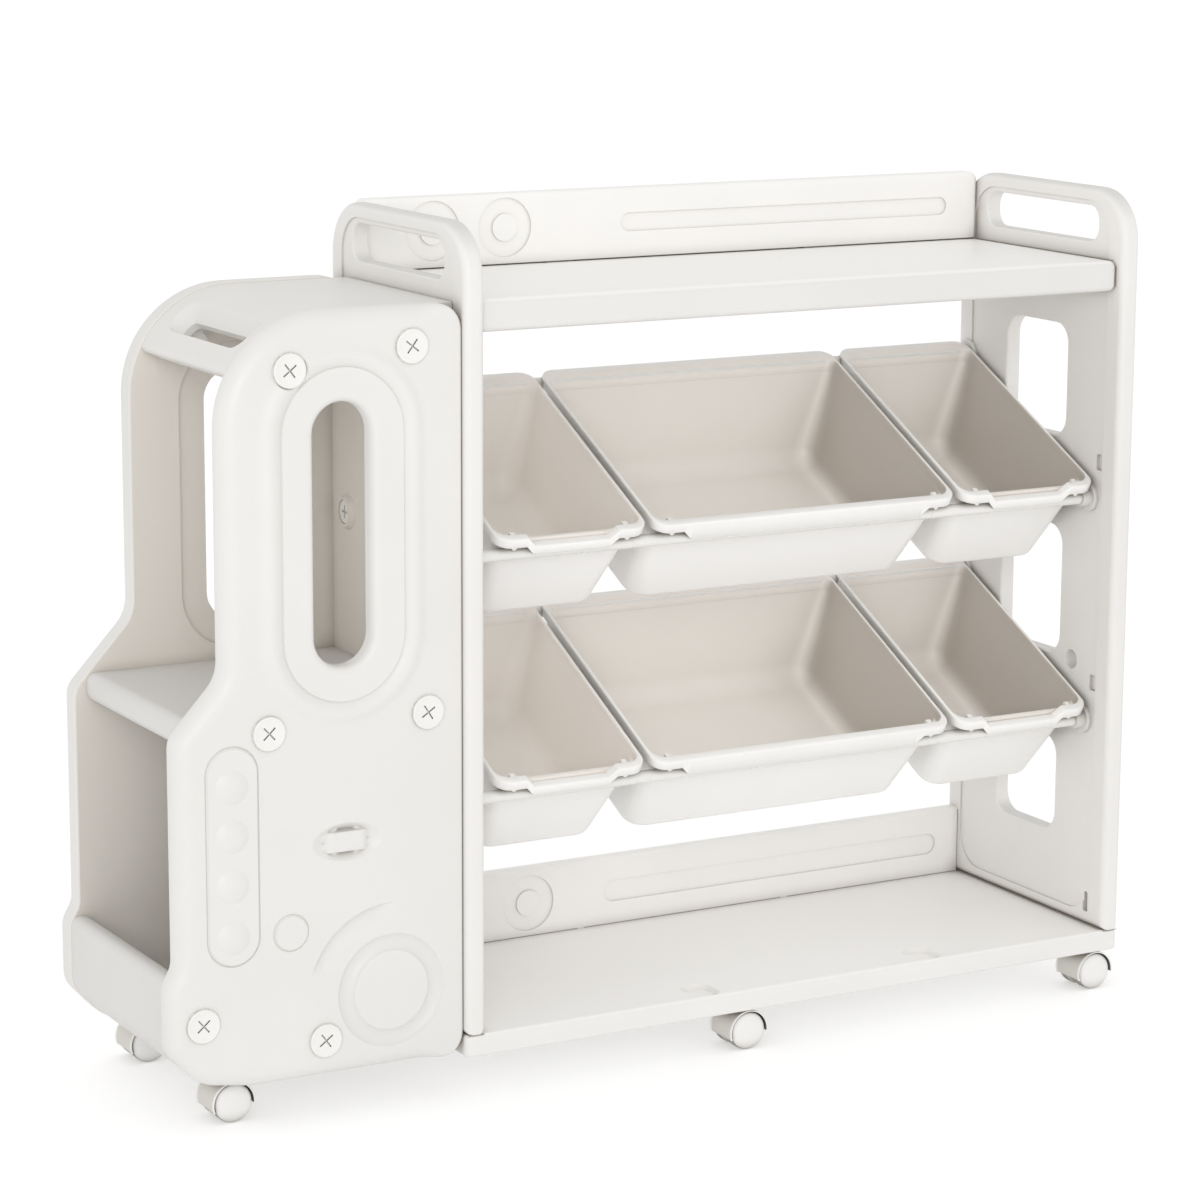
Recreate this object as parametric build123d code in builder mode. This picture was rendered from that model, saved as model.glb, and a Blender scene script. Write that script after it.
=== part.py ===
from build123d import *
import os
from math import sin, cos, radians

os.makedirs("parts", exist_ok=True)

# ---------------------------------------------------------------- overall
RACK_L, RACK_R = -222.7, 511.0        # outer faces of the two side panels
HALF_D = 138.6                        # half depth of the side panels
TOP_Z = 800.0
PANEL_T = 20.0                        # side panel thickness
INNER_L, INNER_R = RACK_L + PANEL_T, RACK_R - PANEL_T
RECESS = 1.7                          # sunk field on both faces of a panel

# base plate
PLATE_Z0, PLATE_Z1 = 40.2, 61.0
NOTCHES = ((36.5, -117.0), (288.0, -117.0))

# side panel openings, as (y0, y1, z0, z1)
WINDOWS = ((-49.0, 53.0, 549.4, 661.2), (-49.0, 53.0, 328.4, 458.0), (-49.0, 53.0, 144.3, 241.0))
GRIP = (-93.5, 93.5, 747.2, 781.7)
CORD_HOLE = (-71.0, 326.9, 9.8)
POCKETS = ((-108.5, 531.5, 11.0, 16.0), (-108.5, 309.5, 12.0, 16.0), (-109.0, 84.5, 8.0, 20.0))

# shelf and back boards
SHELF = (-127.7, 134.0, 702.6, 732.0)
UPPER_BOARD = (109.6, 131.6, 733.2, 800.0)
LOWER_BOARD = (118.4, 134.0, 61.0, 130.7)

# rods, as (y, z)
ROD_R = 6.0
ROW_DROP = 224.7
ROD_FRONT = (-94.3, 495.2)
ROD_BACK = (119.7, 613.9)
SOCKET_R = 13.7
SOCKET_PROUD = 2.6
COLLAR_R, COLLAR_PROUD = 8.5, 12.0

# bins
TILT = 26.1
RIM_Y, RIM_Z = -112.3, 510.6          # front edge of the rim, upper row
RIM_L = 262.9                         # rim length up the slope
BIN_DEPTH = 110.0
WALL = 2.5
FLANGE_T = 2.8
LIP = 9.5
SKIRT = 18.6
BIN_X = (("left", -175.5, -18.5, True), ("middle", -10.7, 323.0, False), ("right", 330.8, 487.8, True))

# cab module
CAB_R = -222.7
CAB_F0, CAB_F1 = -132.5, -93.2        # front panel, outer and inner face
CAB_B0, CAB_B1 = 96.3, 135.6          # back panel, inner and outer face
CAB_Z0, CAB_TOP = 42.0, 731.5
CAB_LEFT = -511.0
PILLOW = 17.0
NOSE_X_FRONT, NOSE_X_BACK = -454.2, -441.9
SHOULDER_Z_FRONT, SHOULDER_Z_BACK = 416.8, 430.1
ROOF_C = (-342.4, 632.0)
ROOF_R = 98.0
ROOF_T = 26.0
CAB_SCREWS = ((-389.0, 681.6), (-271.8, 696.0), (-412.6, 364.4), (-257.8, 367.1), (-478.8, 108.5), (-361.0, 77.4))
HEAD_R, HEAD_T = 15.5, 4.0

# casters, as (name, stem x, stem y, underside of what the stem goes into)
WHEEL_R = 18.5
TRAIL = 10.0
HOOD_R = 20.8
CASTERS = (
    ("front_left", -444.0, -75.0, CAB_Z0),
    ("front_middle", 71.0, -115.4, PLATE_Z0),
    ("front_right", 477.0, -115.4, PLATE_Z0),
    ("back_left", -444.0, 118.4, CAB_Z0),
    ("back_middle", 71.0, 119.0, PLATE_Z0),
    ("back_right", 477.0, 119.0, PLATE_Z0),
)


def save(piece, name):
    piece.label = name
    export_step(piece, f"parts/{name}.step")


def front_plane(y):
    """Plane facing -Y at the given y, so that sketches use (x, z)."""
    return Plane.XZ.offset(-y)


def stadium(x0, x1, z0, z1):
    w, h = x1 - x0, z1 - z0
    with Locations(((x0 + x1) / 2, (z0 + z1) / 2)):
        if w > h:
            SlotOverall(w, h)
        else:
            SlotOverall(h, w, rotation=90)


def rounded_box(a0, a1, b0, b1, r):
    with Locations(((a0 + a1) / 2, (b0 + b1) / 2)):
        RectangleRounded(a1 - a0, b1 - b0, r)


def rows():
    return (("upper", 0.0), ("lower", ROW_DROP))


# ---------------------------------------------------------------- base plate
with BuildPart() as base_plate:
    with BuildSketch(Plane.XY.offset(PLATE_Z0)):
        rounded_box(RACK_L, RACK_R, -HALF_D, HALF_D, 8)
    extrude(amount=PLATE_Z1 - PLATE_Z0)
    fillet(base_plate.edges().group_by(Axis.Z)[-1], 3)
    fillet(base_plate.edges().group_by(Axis.Z)[0], 2.5)
    # finger hollows along the front edge of the deck
    for notch in NOTCHES:
        with BuildSketch(Plane.XY.offset(PLATE_Z1)):
            with Locations(notch):
                RectangleRounded(31, 38, 12)
        with BuildSketch(Plane.XY.offset(PLATE_Z1 - 4.5)):
            with Locations(notch):
                RectangleRounded(25, 32, 9)
        loft(mode=Mode.SUBTRACT)
    # bores for the caster stems
    with BuildSketch(Plane.XY.offset(PLATE_Z0)):
        with Locations(*[(x, y) for _, x, y, z in CASTERS if z == PLATE_Z0]):
            Circle(4.05)
    extrude(amount=14, mode=Mode.SUBTRACT)
    # screw holes under the side panels, sunk for the heads
    with Locations(*[Plane((x, y, PLATE_Z0), z_dir=(0, 0, -1)) for x in (RACK_L + 10, RACK_R - 10) for y in (-85, 85)]):
        CounterBoreHole(2.3, 5.2, 5, 30)
    # sockets for the tabs of the lower back board
    with BuildSketch(Plane.XY.offset(PLATE_Z1)):
        with Locations((37, 126.2), (276, 126.2)):
            Rectangle(30.2, 10.2)
    extrude(amount=-8.1, mode=Mode.SUBTRACT)
save(base_plate.part, "base_plate")

# ---------------------------------------------------------------- side panels
for side, x_outer, inward in (("left", RACK_L, 1), ("right", RACK_R, -1)):
    x_inner = x_outer + inward * PANEL_T
    with BuildPart() as side_panel:
        with BuildSketch(Plane.YZ.offset(x_outer)):
            with BuildLine():
                FilletPolyline((-HALF_D, PLATE_Z1), (HALF_D, PLATE_Z1), (HALF_D, TOP_Z), (-HALF_D, TOP_Z),
                               radius=[1.0, 1.0, 50.0, 50.0], close=True)
            make_face()
        extrude(amount=inward * PANEL_T)
        rims = side_panel.edges().filter_by(Plane.YZ)
        fillet(rims.filter_by(lambda e: e.center().Z > PLATE_Z1 + 1.5), 7)
        for x_face, into in ((x_outer, inward), (x_inner, -inward)):
            with BuildSketch(Plane.YZ.offset(x_face)):
                rounded_box(-114, 114, 73, 787.5, 35)
            extrude(amount=into * RECESS, mode=Mode.SUBTRACT)
        # windows, carrying grip and cord hole
        with BuildSketch(Plane.YZ.offset(x_outer)):
            for w in WINDOWS:
                rounded_box(*w, 20)
            rounded_box(*GRIP, 15)
        extrude(amount=inward * PANEL_T, mode=Mode.SUBTRACT)
        soft = side_panel.edges().filter_by(Plane.YZ).filter_by(
            lambda e: abs(e.center().X - (x_outer + x_inner) / 2) < PANEL_T / 2 - 1
            and -100 < e.center().Y < 100 and (e.center().Z < 672 or e.center().Z > 740)
            and 100 < e.center().Z < 785
        )
        fillet(soft, 2.5)
        with BuildSketch(Plane.YZ.offset(x_outer)):
            with Locations(CORD_HOLE[:2]):
                Circle(CORD_HOLE[2])
        extrude(amount=inward * PANEL_T, mode=Mode.SUBTRACT)
        # shallow pockets near the front edge, on the inner face
        with BuildSketch(Plane.YZ.offset(x_inner)):
            for y, z, w, h in POCKETS:
                rounded_box(y - w / 2, y + w / 2, z - h / 2, z + h / 2, 2)
        extrude(amount=-inward * 5, mode=Mode.SUBTRACT)
        # seats for the rod sockets
        with BuildSketch(Plane.YZ.offset(x_inner)):
            for _, drop in rows():
                with Locations((ROD_FRONT[0], ROD_FRONT[1] - drop), (ROD_BACK[0], ROD_BACK[1] - drop)):
                    Circle(SOCKET_R + 0.05)
        extrude(amount=-inward * 4.1, mode=Mode.SUBTRACT)
        # holes for the shelf screws, sunk on the outer face
        with Locations(*[Plane((x_outer + inward * RECESS, y, 717.3), z_dir=(-inward, 0, 0)) for y in (-80, 80)]):
            CounterBoreHole(2.3, 5.2, 3.5, 30)
        # pilot holes for the base screws
        with BuildSketch(Plane.XY.offset(PLATE_Z1)):
            with Locations(*[((x_outer + x_inner) / 2, y) for y in (-85, 85)]):
                Circle(2.05)
        extrude(amount=26, mode=Mode.SUBTRACT)
        # pilot holes for the screws that hold the cab
        if side == "left":
            with BuildSketch(Plane.YZ.offset(x_outer)):
                with Locations((70, 515), (-70, 515), (70, 265), (-70, 265)):
                    Circle(3.05)
            extrude(amount=14, mode=Mode.SUBTRACT)
    save(side_panel.part, f"side_panel_{side}")

# ---------------------------------------------------------------- top shelf
with BuildPart() as top_shelf:
    with BuildSketch(Plane.XY.offset(SHELF[2])):
        rounded_box(INNER_L, INNER_R, SHELF[0], SHELF[1], 4)
    extrude(amount=SHELF[3] - SHELF[2])
    fillet(top_shelf.edges().filter_by(Axis.X).group_by(Axis.Y)[0], 6)
    # shallow rebate that the upper back board stands in, and sockets for its tabs
    with BuildSketch(Plane.XY.offset(SHELF[3])):
        with Locations(((INNER_L + INNER_R) / 2, 122.4)):
            Rectangle(INNER_R - INNER_L + 2, 28)
    extrude(amount=-0.6, mode=Mode.SUBTRACT)
    with BuildSketch(Plane.XY.offset(SHELF[3])):
        with Locations((10, 120.6), (301.5, 120.6)):
            Rectangle(30.2, 12.2)
    extrude(amount=-10.1, mode=Mode.SUBTRACT)
    # pilot holes for the shelf screws
    for x_end, into in ((INNER_L, 1), (INNER_R, -1)):
        with BuildSketch(Plane.YZ.offset(x_end)):
            with Locations((-80, 717.3), (80, 717.3)):
                Circle(2.05)
        extrude(amount=into * 24, mode=Mode.SUBTRACT)
save(top_shelf.part, "top_shelf")

# ---------------------------------------------------------------- back boards
with BuildPart() as upper_back_board:
    y0, y1, z0, z1 = UPPER_BOARD
    with BuildSketch(front_plane(y1)):
        rounded_box(INNER_L, INNER_R, z0, z1, 8)
        with Locations(((INNER_L + INNER_R) / 2, z0 + 8)):
            Rectangle(INNER_R - INNER_L, 16)
    extrude(amount=y1 - y0)
    fillet(upper_back_board.edges().filter_by(Axis.X).group_by(Axis.Z)[-1], 5)
    with BuildSketch(front_plane(y0)):
        with Locations((-129.6, 767.6), (-53.1, 767.6)):
            Circle(28.4)
            Circle(13.1, mode=Mode.SUBTRACT)
        stadium(73.5, 452.8, 757.9, 776.0)
    extrude(amount=-2.2, mode=Mode.SUBTRACT)
    with BuildSketch(Plane.XY.offset(z0)):
        with Locations((10, 120.6), (301.5, 120.6)):
            Rectangle(30, 12)
    extrude(amount=-11)
save(upper_back_board.part, "upper_back_board")

with BuildPart() as lower_back_board:
    y0, y1, z0, z1 = LOWER_BOARD
    with BuildSketch(front_plane(y1)):
        with Locations(((INNER_L + INNER_R) / 2, (z0 + z1) / 2)):
            Rectangle(INNER_R - INNER_L, z1 - z0)
    extrude(amount=y1 - y0)
    fillet(lower_back_board.edges().filter_by(Axis.X).group_by(Axis.Z)[-1], 4)
    with BuildSketch(front_plane(y0)):
        with Locations((-22.5, 95.0)):
            Circle(28.4)
            Circle(12.9, mode=Mode.SUBTRACT)
        stadium(63.4, 463.0, 83.8, 106.2)
    extrude(amount=-2.2, mode=Mode.SUBTRACT)
    with BuildSketch(Plane.XY.offset(z0)):
        with Locations((37, 126.2), (276, 126.2)):
            Rectangle(30, 10)
    extrude(amount=-8)
save(lower_back_board.part, "lower_back_board")

# ---------------------------------------------------------------- rods and their sockets
for row, drop in rows():
    for place, (y, z) in (("front", ROD_FRONT), ("back", ROD_BACK)):
        with BuildPart() as rod:
            with BuildSketch(Plane.YZ.offset(INNER_L - 3.1)):
                with Locations((y, z - drop)):
                    Circle(ROD_R)
            extrude(amount=INNER_R - INNER_L + 6.2)
        save(rod.part, f"rod_{row}_{place}")

with BuildPart() as rod_end_sockets:
    for x_inner, out in ((INNER_L, 1), (INNER_R, -1)):
        for _, drop in rows():
            for (y, z), collar in ((ROD_FRONT, COLLAR_PROUD), (ROD_BACK, 0)):
                with BuildSketch(Plane.YZ.offset(x_inner - out * 4.1)):
                    with Locations((y, z - drop)):
                        Circle(SOCKET_R)
                extrude(amount=out * (4.1 + SOCKET_PROUD))
                if collar:
                    with BuildSketch(Plane.YZ.offset(x_inner)):
                        with Locations((y, z - drop)):
                            Circle(COLLAR_R)
                    extrude(amount=out * collar)
                with BuildSketch(Plane.YZ.offset(x_inner - out * 3.1)):
                    with Locations((y, z - drop)):
                        Circle(ROD_R + 0.05)
                extrude(amount=out * 30, mode=Mode.SUBTRACT)
    fillet(rod_end_sockets.edges().filter_by(GeomType.CIRCLE).filter_by(
        lambda e: e.radius > SOCKET_R - 0.5 and min(abs(e.center().X - INNER_L - SOCKET_PROUD),
                                                    abs(e.center().X - INNER_R + SOCKET_PROUD)) < 0.1), 1.2)
save(rod_end_sockets.part, "rod_end_sockets")

# ---------------------------------------------------------------- rack screws
with BuildPart() as shelf_screws:
    for x_outer, inward in ((RACK_L, 1), (RACK_R, -1)):
        seat = x_outer + inward * (RECESS + 3.5)
        with BuildSketch(Plane.YZ.offset(seat)):
            with Locations((-80, 717.3), (80, 717.3)):
                Circle(5.0)
        extrude(amount=-inward * 3.0)
        with BuildSketch(Plane.YZ.offset(seat)):
            with Locations((-80, 717.3), (80, 717.3)):
                Circle(2.0)
        extrude(amount=inward * 36)
        with BuildSketch(Plane.YZ.offset(seat - inward * 3.0)):
            with Locations((-80, 717.3), (80, 717.3)):
                Rectangle(6, 1.1)
                Rectangle(1.1, 6)
        extrude(amount=inward * 1.4, mode=Mode.SUBTRACT)
save(shelf_screws.part, "shelf_screws")

with BuildPart() as base_screws:
    spots = [(x, y) for x in (RACK_L + 10, RACK_R - 10) for y in (-85, 85)]
    with BuildSketch(Plane.XY.offset(PLATE_Z0 + 5)):
        with Locations(*spots):
            Circle(5.0)
    extrude(amount=-3.5)
    with BuildSketch(Plane.XY.offset(PLATE_Z0 + 5)):
        with Locations(*spots):
            Circle(2.0)
    extrude(amount=38)
    with BuildSketch(Plane.XY.offset(PLATE_Z0 + 1.5)):
        with Locations(*spots):
            Rectangle(6, 1.1)
            Rectangle(1.1, 6)
    extrude(amount=1.4, mode=Mode.SUBTRACT)
save(base_screws.part, "base_screws")


# ---------------------------------------------------------------- cab panels
def cab_outline(nose_x, shoulder_z):
    """Side view of the cab, counter-clockwise from its bottom right corner."""
    return (
        [(CAB_R, CAB_Z0), (CAB_R, CAB_TOP), (nose_x, CAB_TOP), (nose_x, shoulder_z), (-501.3, 365.9),
         (-501.3, 162.0), (CAB_LEFT, 145.0), (CAB_LEFT, 86.0), (-478.0, 50.0), (-428.0, CAB_Z0)],
        [23.6, 24.0, 99.5, 35.0, 23.0, 22.0, 24.0, 26.0, 45.0, 60.0],
    )


def window_cut(y_face, d, ring, pocket):
    """Book window of a cab panel, in a pocket of the given ring width and depth on the inner face."""
    with BuildSketch(front_plane(y_face)) as window:
        stadium(-367.5, -311.8, 416.8, 651.5)
    extrude(window.sketch, amount=-d * 60, mode=Mode.SUBTRACT)
    with BuildSketch(front_plane(y_face + d * 39.3)) as behind:
        stadium(-367.5 - ring, -311.8 + ring, 416.8 - ring, 651.5 + ring)
    extrude(behind.sketch, amount=d * pocket, mode=Mode.SUBTRACT)


def screw_seats(y_face, d):
    with BuildSketch(front_plane(y_face)) as seats:
        with Locations(*CAB_SCREWS):
            Circle(HEAD_R + 0.8)
    extrude(seats.sketch, amount=-d * 5.0, mode=Mode.SUBTRACT)
    with BuildSketch(front_plane(y_face)) as bores:
        with Locations(*CAB_SCREWS):
            Circle(5.3)
    extrude(bores.sketch, amount=-d * 45.0, mode=Mode.SUBTRACT)


with BuildPart() as cab_front_panel:
    pts, radii = cab_outline(NOSE_X_FRONT, SHOULDER_Z_FRONT)
    with BuildSketch(front_plane(CAB_F1)):
        with BuildLine():
            FilletPolyline(*pts, radius=radii, close=True)
        make_face()
    extrude(amount=CAB_F1 - CAB_F0)
    fillet(cab_front_panel.edges().filter_by(lambda e: abs(e.center().Y - CAB_F0) < 0.01), PILLOW)
    fillet(cab_front_panel.edges().filter_by(lambda e: abs(e.center().Y - CAB_F1) < 0.01), 2)
    # soft shoulder round the book window, then the raised frame and the window itself
    with BuildSketch(front_plane(CAB_F0)):
        stadium(-412.9, -262.0, 368.0, 698.0)
    extrude(amount=-3.0, taper=35, mode=Mode.SUBTRACT)
    with BuildSketch(front_plane(CAB_F0 + 3.0)):
        stadium(-397.8, -279.6, 384.4, 682.7)
    extrude(amount=2.2, taper=20)
    window_cut(CAB_F0, 1, 13.0, 23.3)
    screw_seats(CAB_F0, 1)
    # lamp strip: a low pad with four domes
    with BuildSketch(front_plane(CAB_F0)):
        stadium(-472.2, -424.7, 159.6, 355.4)
    extrude(amount=1.4, taper=30)
    with BuildSketch(front_plane(CAB_F0 - 1.4)):
        with Locations(*[(-449.5, z) for z in (320.5, 276.5, 231.4, 184.9)]):
            Circle(15.5)
    extrude(amount=2.0, taper=50)
    # door handle: a dish bridged by a bar
    with Locations((-338.0, CAB_F0 - 13.0, 258.0)):
        Sphere(21.5, mode=Mode.SUBTRACT)
    with BuildSketch(front_plane(CAB_F0 + 3.0)):
        rounded_box(-370, -306, 248, 268, 8)
    extrude(amount=5.5, taper=12)
    # round cap and wheel relief
    with BuildSketch(front_plane(CAB_F0)):
        with Locations((-393.5, 181.6)):
            Circle(15.5)
            Circle(14.0, mode=Mode.SUBTRACT)
        with Locations((-296.0, 115.0)):
            Circle(52.5)
            Circle(36.4, mode=Mode.SUBTRACT)
    extrude(amount=-1.5, mode=Mode.SUBTRACT)
save(cab_front_panel.part, "cab_front_panel")

with BuildPart() as cab_back_panel:
    pts, radii = cab_outline(NOSE_X_BACK, SHOULDER_Z_BACK)
    with BuildSketch(front_plane(CAB_B0)):
        with BuildLine():
            FilletPolyline(*pts, radius=radii, close=True)
        make_face()
    extrude(amount=CAB_B0 - CAB_B1)
    fillet(cab_back_panel.edges().filter_by(lambda e: abs(e.center().Y - CAB_B1) < 0.01), PILLOW)
    fillet(cab_back_panel.edges().filter_by(lambda e: abs(e.center().Y - CAB_B0) < 0.01), 2)
    window_cut(CAB_B1, -1, 40.0, 3.0)
    screw_seats(CAB_B1, -1)
    with BuildSketch(Plane.XY.offset(CAB_Z0)):
        with Locations(*[(x, y) for _, x, y, z in CASTERS if z == CAB_Z0 and y > CAB_B0]):
            Circle(4.05)
    extrude(amount=14, mode=Mode.SUBTRACT)
save(cab_back_panel.part, "cab_back_panel")

# ---------------------------------------------------------------- cab roof
CX, CZ = ROOF_C
END = radians(154.0)


def radial(angle, out):
    """Plane across the roof's curved corner, facing outwards, the given distance off its outer face."""
    a = radians(angle)
    return Plane(origin=(CX + (ROOF_R + out) * cos(a), 0, CZ + (ROOF_R + out) * sin(a)),
                 x_dir=(0, 1, 0), z_dir=(cos(a), 0, sin(a)))


with BuildPart() as cab_roof:
    with BuildSketch(front_plane(CAB_B0)):
        with BuildLine():
            outer = CenterArc((CX, CZ), ROOF_R, 90, 64)
            inner = CenterArc((CX, CZ), ROOF_R - ROOF_T, 90, 64)
            Line(outer @ 1, inner @ 1)
            Line(inner @ 0, (CAB_R, CZ + ROOF_R - ROOF_T))
            Line((CAB_R, CZ + ROOF_R - ROOF_T), (CAB_R, CZ + ROOF_R))
            Line((CAB_R, CZ + ROOF_R), outer @ 0)
        make_face()
    extrude(amount=CAB_B0 - CAB_F1)
    lip_edges = cab_roof.edges().filter_by(Axis.Y).sort_by(Axis.X)[:2]
    fillet(lip_edges, 6)
    # bosses for the two upper screws, at both ends
    for x, z in CAB_SCREWS[:2]:
        for y_end, run in ((CAB_B0, 38), (CAB_F1 + 38, 38)):
            with BuildSketch(front_plane(y_end)):
                with Locations((x, z)):
                    Circle(11.0)
            extrude(amount=run)
        with BuildSketch(front_plane(CAB_F1)):
            with Locations((x, z)):
                Circle(4.0)
        extrude(amount=-26, mode=Mode.SUBTRACT)
        with BuildSketch(front_plane(CAB_B0)):
            with Locations((x, z)):
                Circle(4.0)
        extrude(amount=26, mode=Mode.SUBTRACT)
    # hand slot through the curved corner: a sloping recess, the hole at its lower side, and a pocket under it
    with BuildSketch(radial(127.0, 1.5)):
        with Locations((-4, 0)):
            RectangleRounded(164, 44, 16)
    with BuildSketch(radial(133.0, -12.0)):
        with Locations((-4, 0)):
            RectangleRounded(134, 20, 8)
    loft(mode=Mode.SUBTRACT)
    with BuildSketch(radial(133.0, -10.0)):
        with Locations((-4, 0)):
            RectangleRounded(134, 20, 8)
    extrude(amount=-40, mode=Mode.SUBTRACT)
    with BuildSketch(radial(131.0, -18.5)):
        with Locations((-4, 0)):
            RectangleRounded(146, 40, 12)
    extrude(amount=-30, mode=Mode.SUBTRACT)
save(cab_roof.part, "cab_roof")

# ---------------------------------------------------------------- cab shelf, floor and side wall
WALL_X = -239.0
with BuildPart() as cab_shoulder_shelf:
    with BuildSketch(front_plane(CAB_B0)):
        with Locations(((-489.5 + WALL_X) / 2, 367.25)):
            Rectangle(WALL_X + 489.5, 26.5)
    extrude(amount=CAB_B0 - CAB_F1)
    fillet(cab_shoulder_shelf.edges().filter_by(Axis.Y).sort_by(Axis.X)[:2], 10)
    for y, into in ((CAB_F1, -26), (CAB_B0, 26)):
        with BuildSketch(front_plane(y)):
            with Locations(CAB_SCREWS[2], CAB_SCREWS[3]):
                Circle(4.0)
        extrude(amount=into, mode=Mode.SUBTRACT)
save(cab_shoulder_shelf.part, "cab_shoulder_shelf")

with BuildPart() as cab_floor_tray:
    with BuildSketch(front_plane(CAB_B0)):
        with BuildLine():
            FilletPolyline((WALL_X, CAB_Z0 + 1), (WALL_X, 66), (-489.5, 66), (-489.5, 152), (-509.5, 152),
                           (-509.5, 86.0), (-477.0, 51.0), (-428.0, CAB_Z0 + 1),
                           radius=[1.0, 1.0, 16.0, 9.0, 9.0, 25.0, 44.0, 59.0], close=True)
        make_face()
    extrude(amount=CAB_B0 - CAB_F1)
    for x, z in CAB_SCREWS[4:]:
        for y_end in (CAB_B0, CAB_F1 + 38):
            with BuildSketch(front_plane(y_end)):
                with Locations((x, z)):
                    Circle(12.0)
            extrude(amount=38)
        for y, into in ((CAB_F1, -26), (CAB_B0, 26)):
            with BuildSketch(front_plane(y)):
                with Locations((x, z)):
                    Circle(4.0)
            extrude(amount=into, mode=Mode.SUBTRACT)
    # the foot that carries the front caster
    with BuildSketch(Plane.XY.offset(CAB_Z0)):
        with Locations(*[(x, y) for _, x, y, z in CASTERS if z == CAB_Z0 and y < CAB_B0]):
            Circle(11)
    extrude(amount=10)
    with BuildSketch(Plane.XY.offset(CAB_Z0)):
        with Locations(*[(x, y) for _, x, y, z in CASTERS if z == CAB_Z0 and y < CAB_B0]):
            Circle(4.05)
    extrude(amount=14, mode=Mode.SUBTRACT)
save(cab_floor_tray.part, "cab_floor_tray")

with BuildPart() as cab_side_wall:
    with BuildSketch(Plane.YZ.offset(WALL_X)):
        with Locations(((CAB_F1 + CAB_B0) / 2, (CAB_Z0 + 1 + CZ + ROOF_R - ROOF_T) / 2)):
            Rectangle(CAB_B0 - CAB_F1, CZ + ROOF_R - ROOF_T - CAB_Z0 - 1)
    extrude(amount=CAB_R - WALL_X)
    with BuildSketch(Plane.YZ.offset(WALL_X)):
        with Locations((70, 515), (-70, 515), (70, 265), (-70, 265)):
            Circle(17)
    extrude(amount=-5, taper=30)
    with BuildSketch(Plane.YZ.offset(WALL_X - 5)):
        with Locations((70, 515), (-70, 515), (70, 265), (-70, 265)):
            Circle(11.5)
    extrude(amount=6, mode=Mode.SUBTRACT)
    with BuildSketch(Plane.YZ.offset(WALL_X)):
        with Locations((70, 515), (-70, 515), (70, 265), (-70, 265)):
            Circle(3.3)
    extrude(amount=20, mode=Mode.SUBTRACT)
save(cab_side_wall.part, "cab_side_wall")

# ---------------------------------------------------------------- cab screws
for name, y_face, d in (("cab_front_screws", CAB_F0, 1), ("cab_back_screws", CAB_B1, -1)):
    with BuildPart() as screws:
        with BuildSketch(front_plane(y_face + d * 5.0)):
            with Locations(*CAB_SCREWS):
                Circle(HEAD_R)
        extrude(amount=d * HEAD_T)
        rim = screws.edges().filter_by(GeomType.CIRCLE).filter_by(
            lambda e: abs(e.center().Y - (y_face + d * (5.0 - HEAD_T))) < 0.1)
        fillet(rim, 1.2)
        with BuildSketch(front_plane(y_face + d * 5.0)):
            with Locations(*CAB_SCREWS):
                Circle(5.0)
        extrude(amount=-d * 34.0)
        with BuildSketch(front_plane(y_face + d * 39.0)):
            with Locations(*CAB_SCREWS):
                Circle(3.9)
        extrude(amount=-d * 24.0)
        with BuildSketch(front_plane(y_face + d * (5.0 - HEAD_T))):
            with Locations(*CAB_SCREWS):
                Rectangle(15.0, 2.0, rotation=30)
                Rectangle(2.0, 15.0, rotation=30)
        extrude(amount=-d * 1.6, mode=Mode.SUBTRACT)
    save(screws.part, name)

with BuildPart() as cab_joining_screws:
    spots = [(70, 515), (-70, 515), (70, 265), (-70, 265)]
    with BuildSketch(Plane.YZ.offset(WALL_X + 1)):
        with Locations(*spots):
            Circle(11.0)
    extrude(amount=-4.5)
    with BuildSketch(Plane.YZ.offset(WALL_X + 1)):
        with Locations(*spots):
            Circle(3.0)
    extrude(amount=28)
    with BuildSketch(Plane.YZ.offset(WALL_X - 3.5)):
        with Locations(*spots):
            Rectangle(12.0, 1.8)
            Rectangle(1.8, 12.0)
    extrude(amount=1.6, mode=Mode.SUBTRACT)
save(cab_joining_screws.part, "cab_joining_screws")

# ---------------------------------------------------------------- bins
SLOPE = (0, cos(radians(TILT)), sin(radians(TILT)))
RISE = (0, -sin(radians(TILT)), cos(radians(TILT)))
BODY_Y0, BODY_Y1 = 16.0, 247.0        # front and back wall below the rim, along the slope
LEDGE = 13.0
COLLAR_Y0 = 7.0                       # front face of the collar above the ledge

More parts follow.
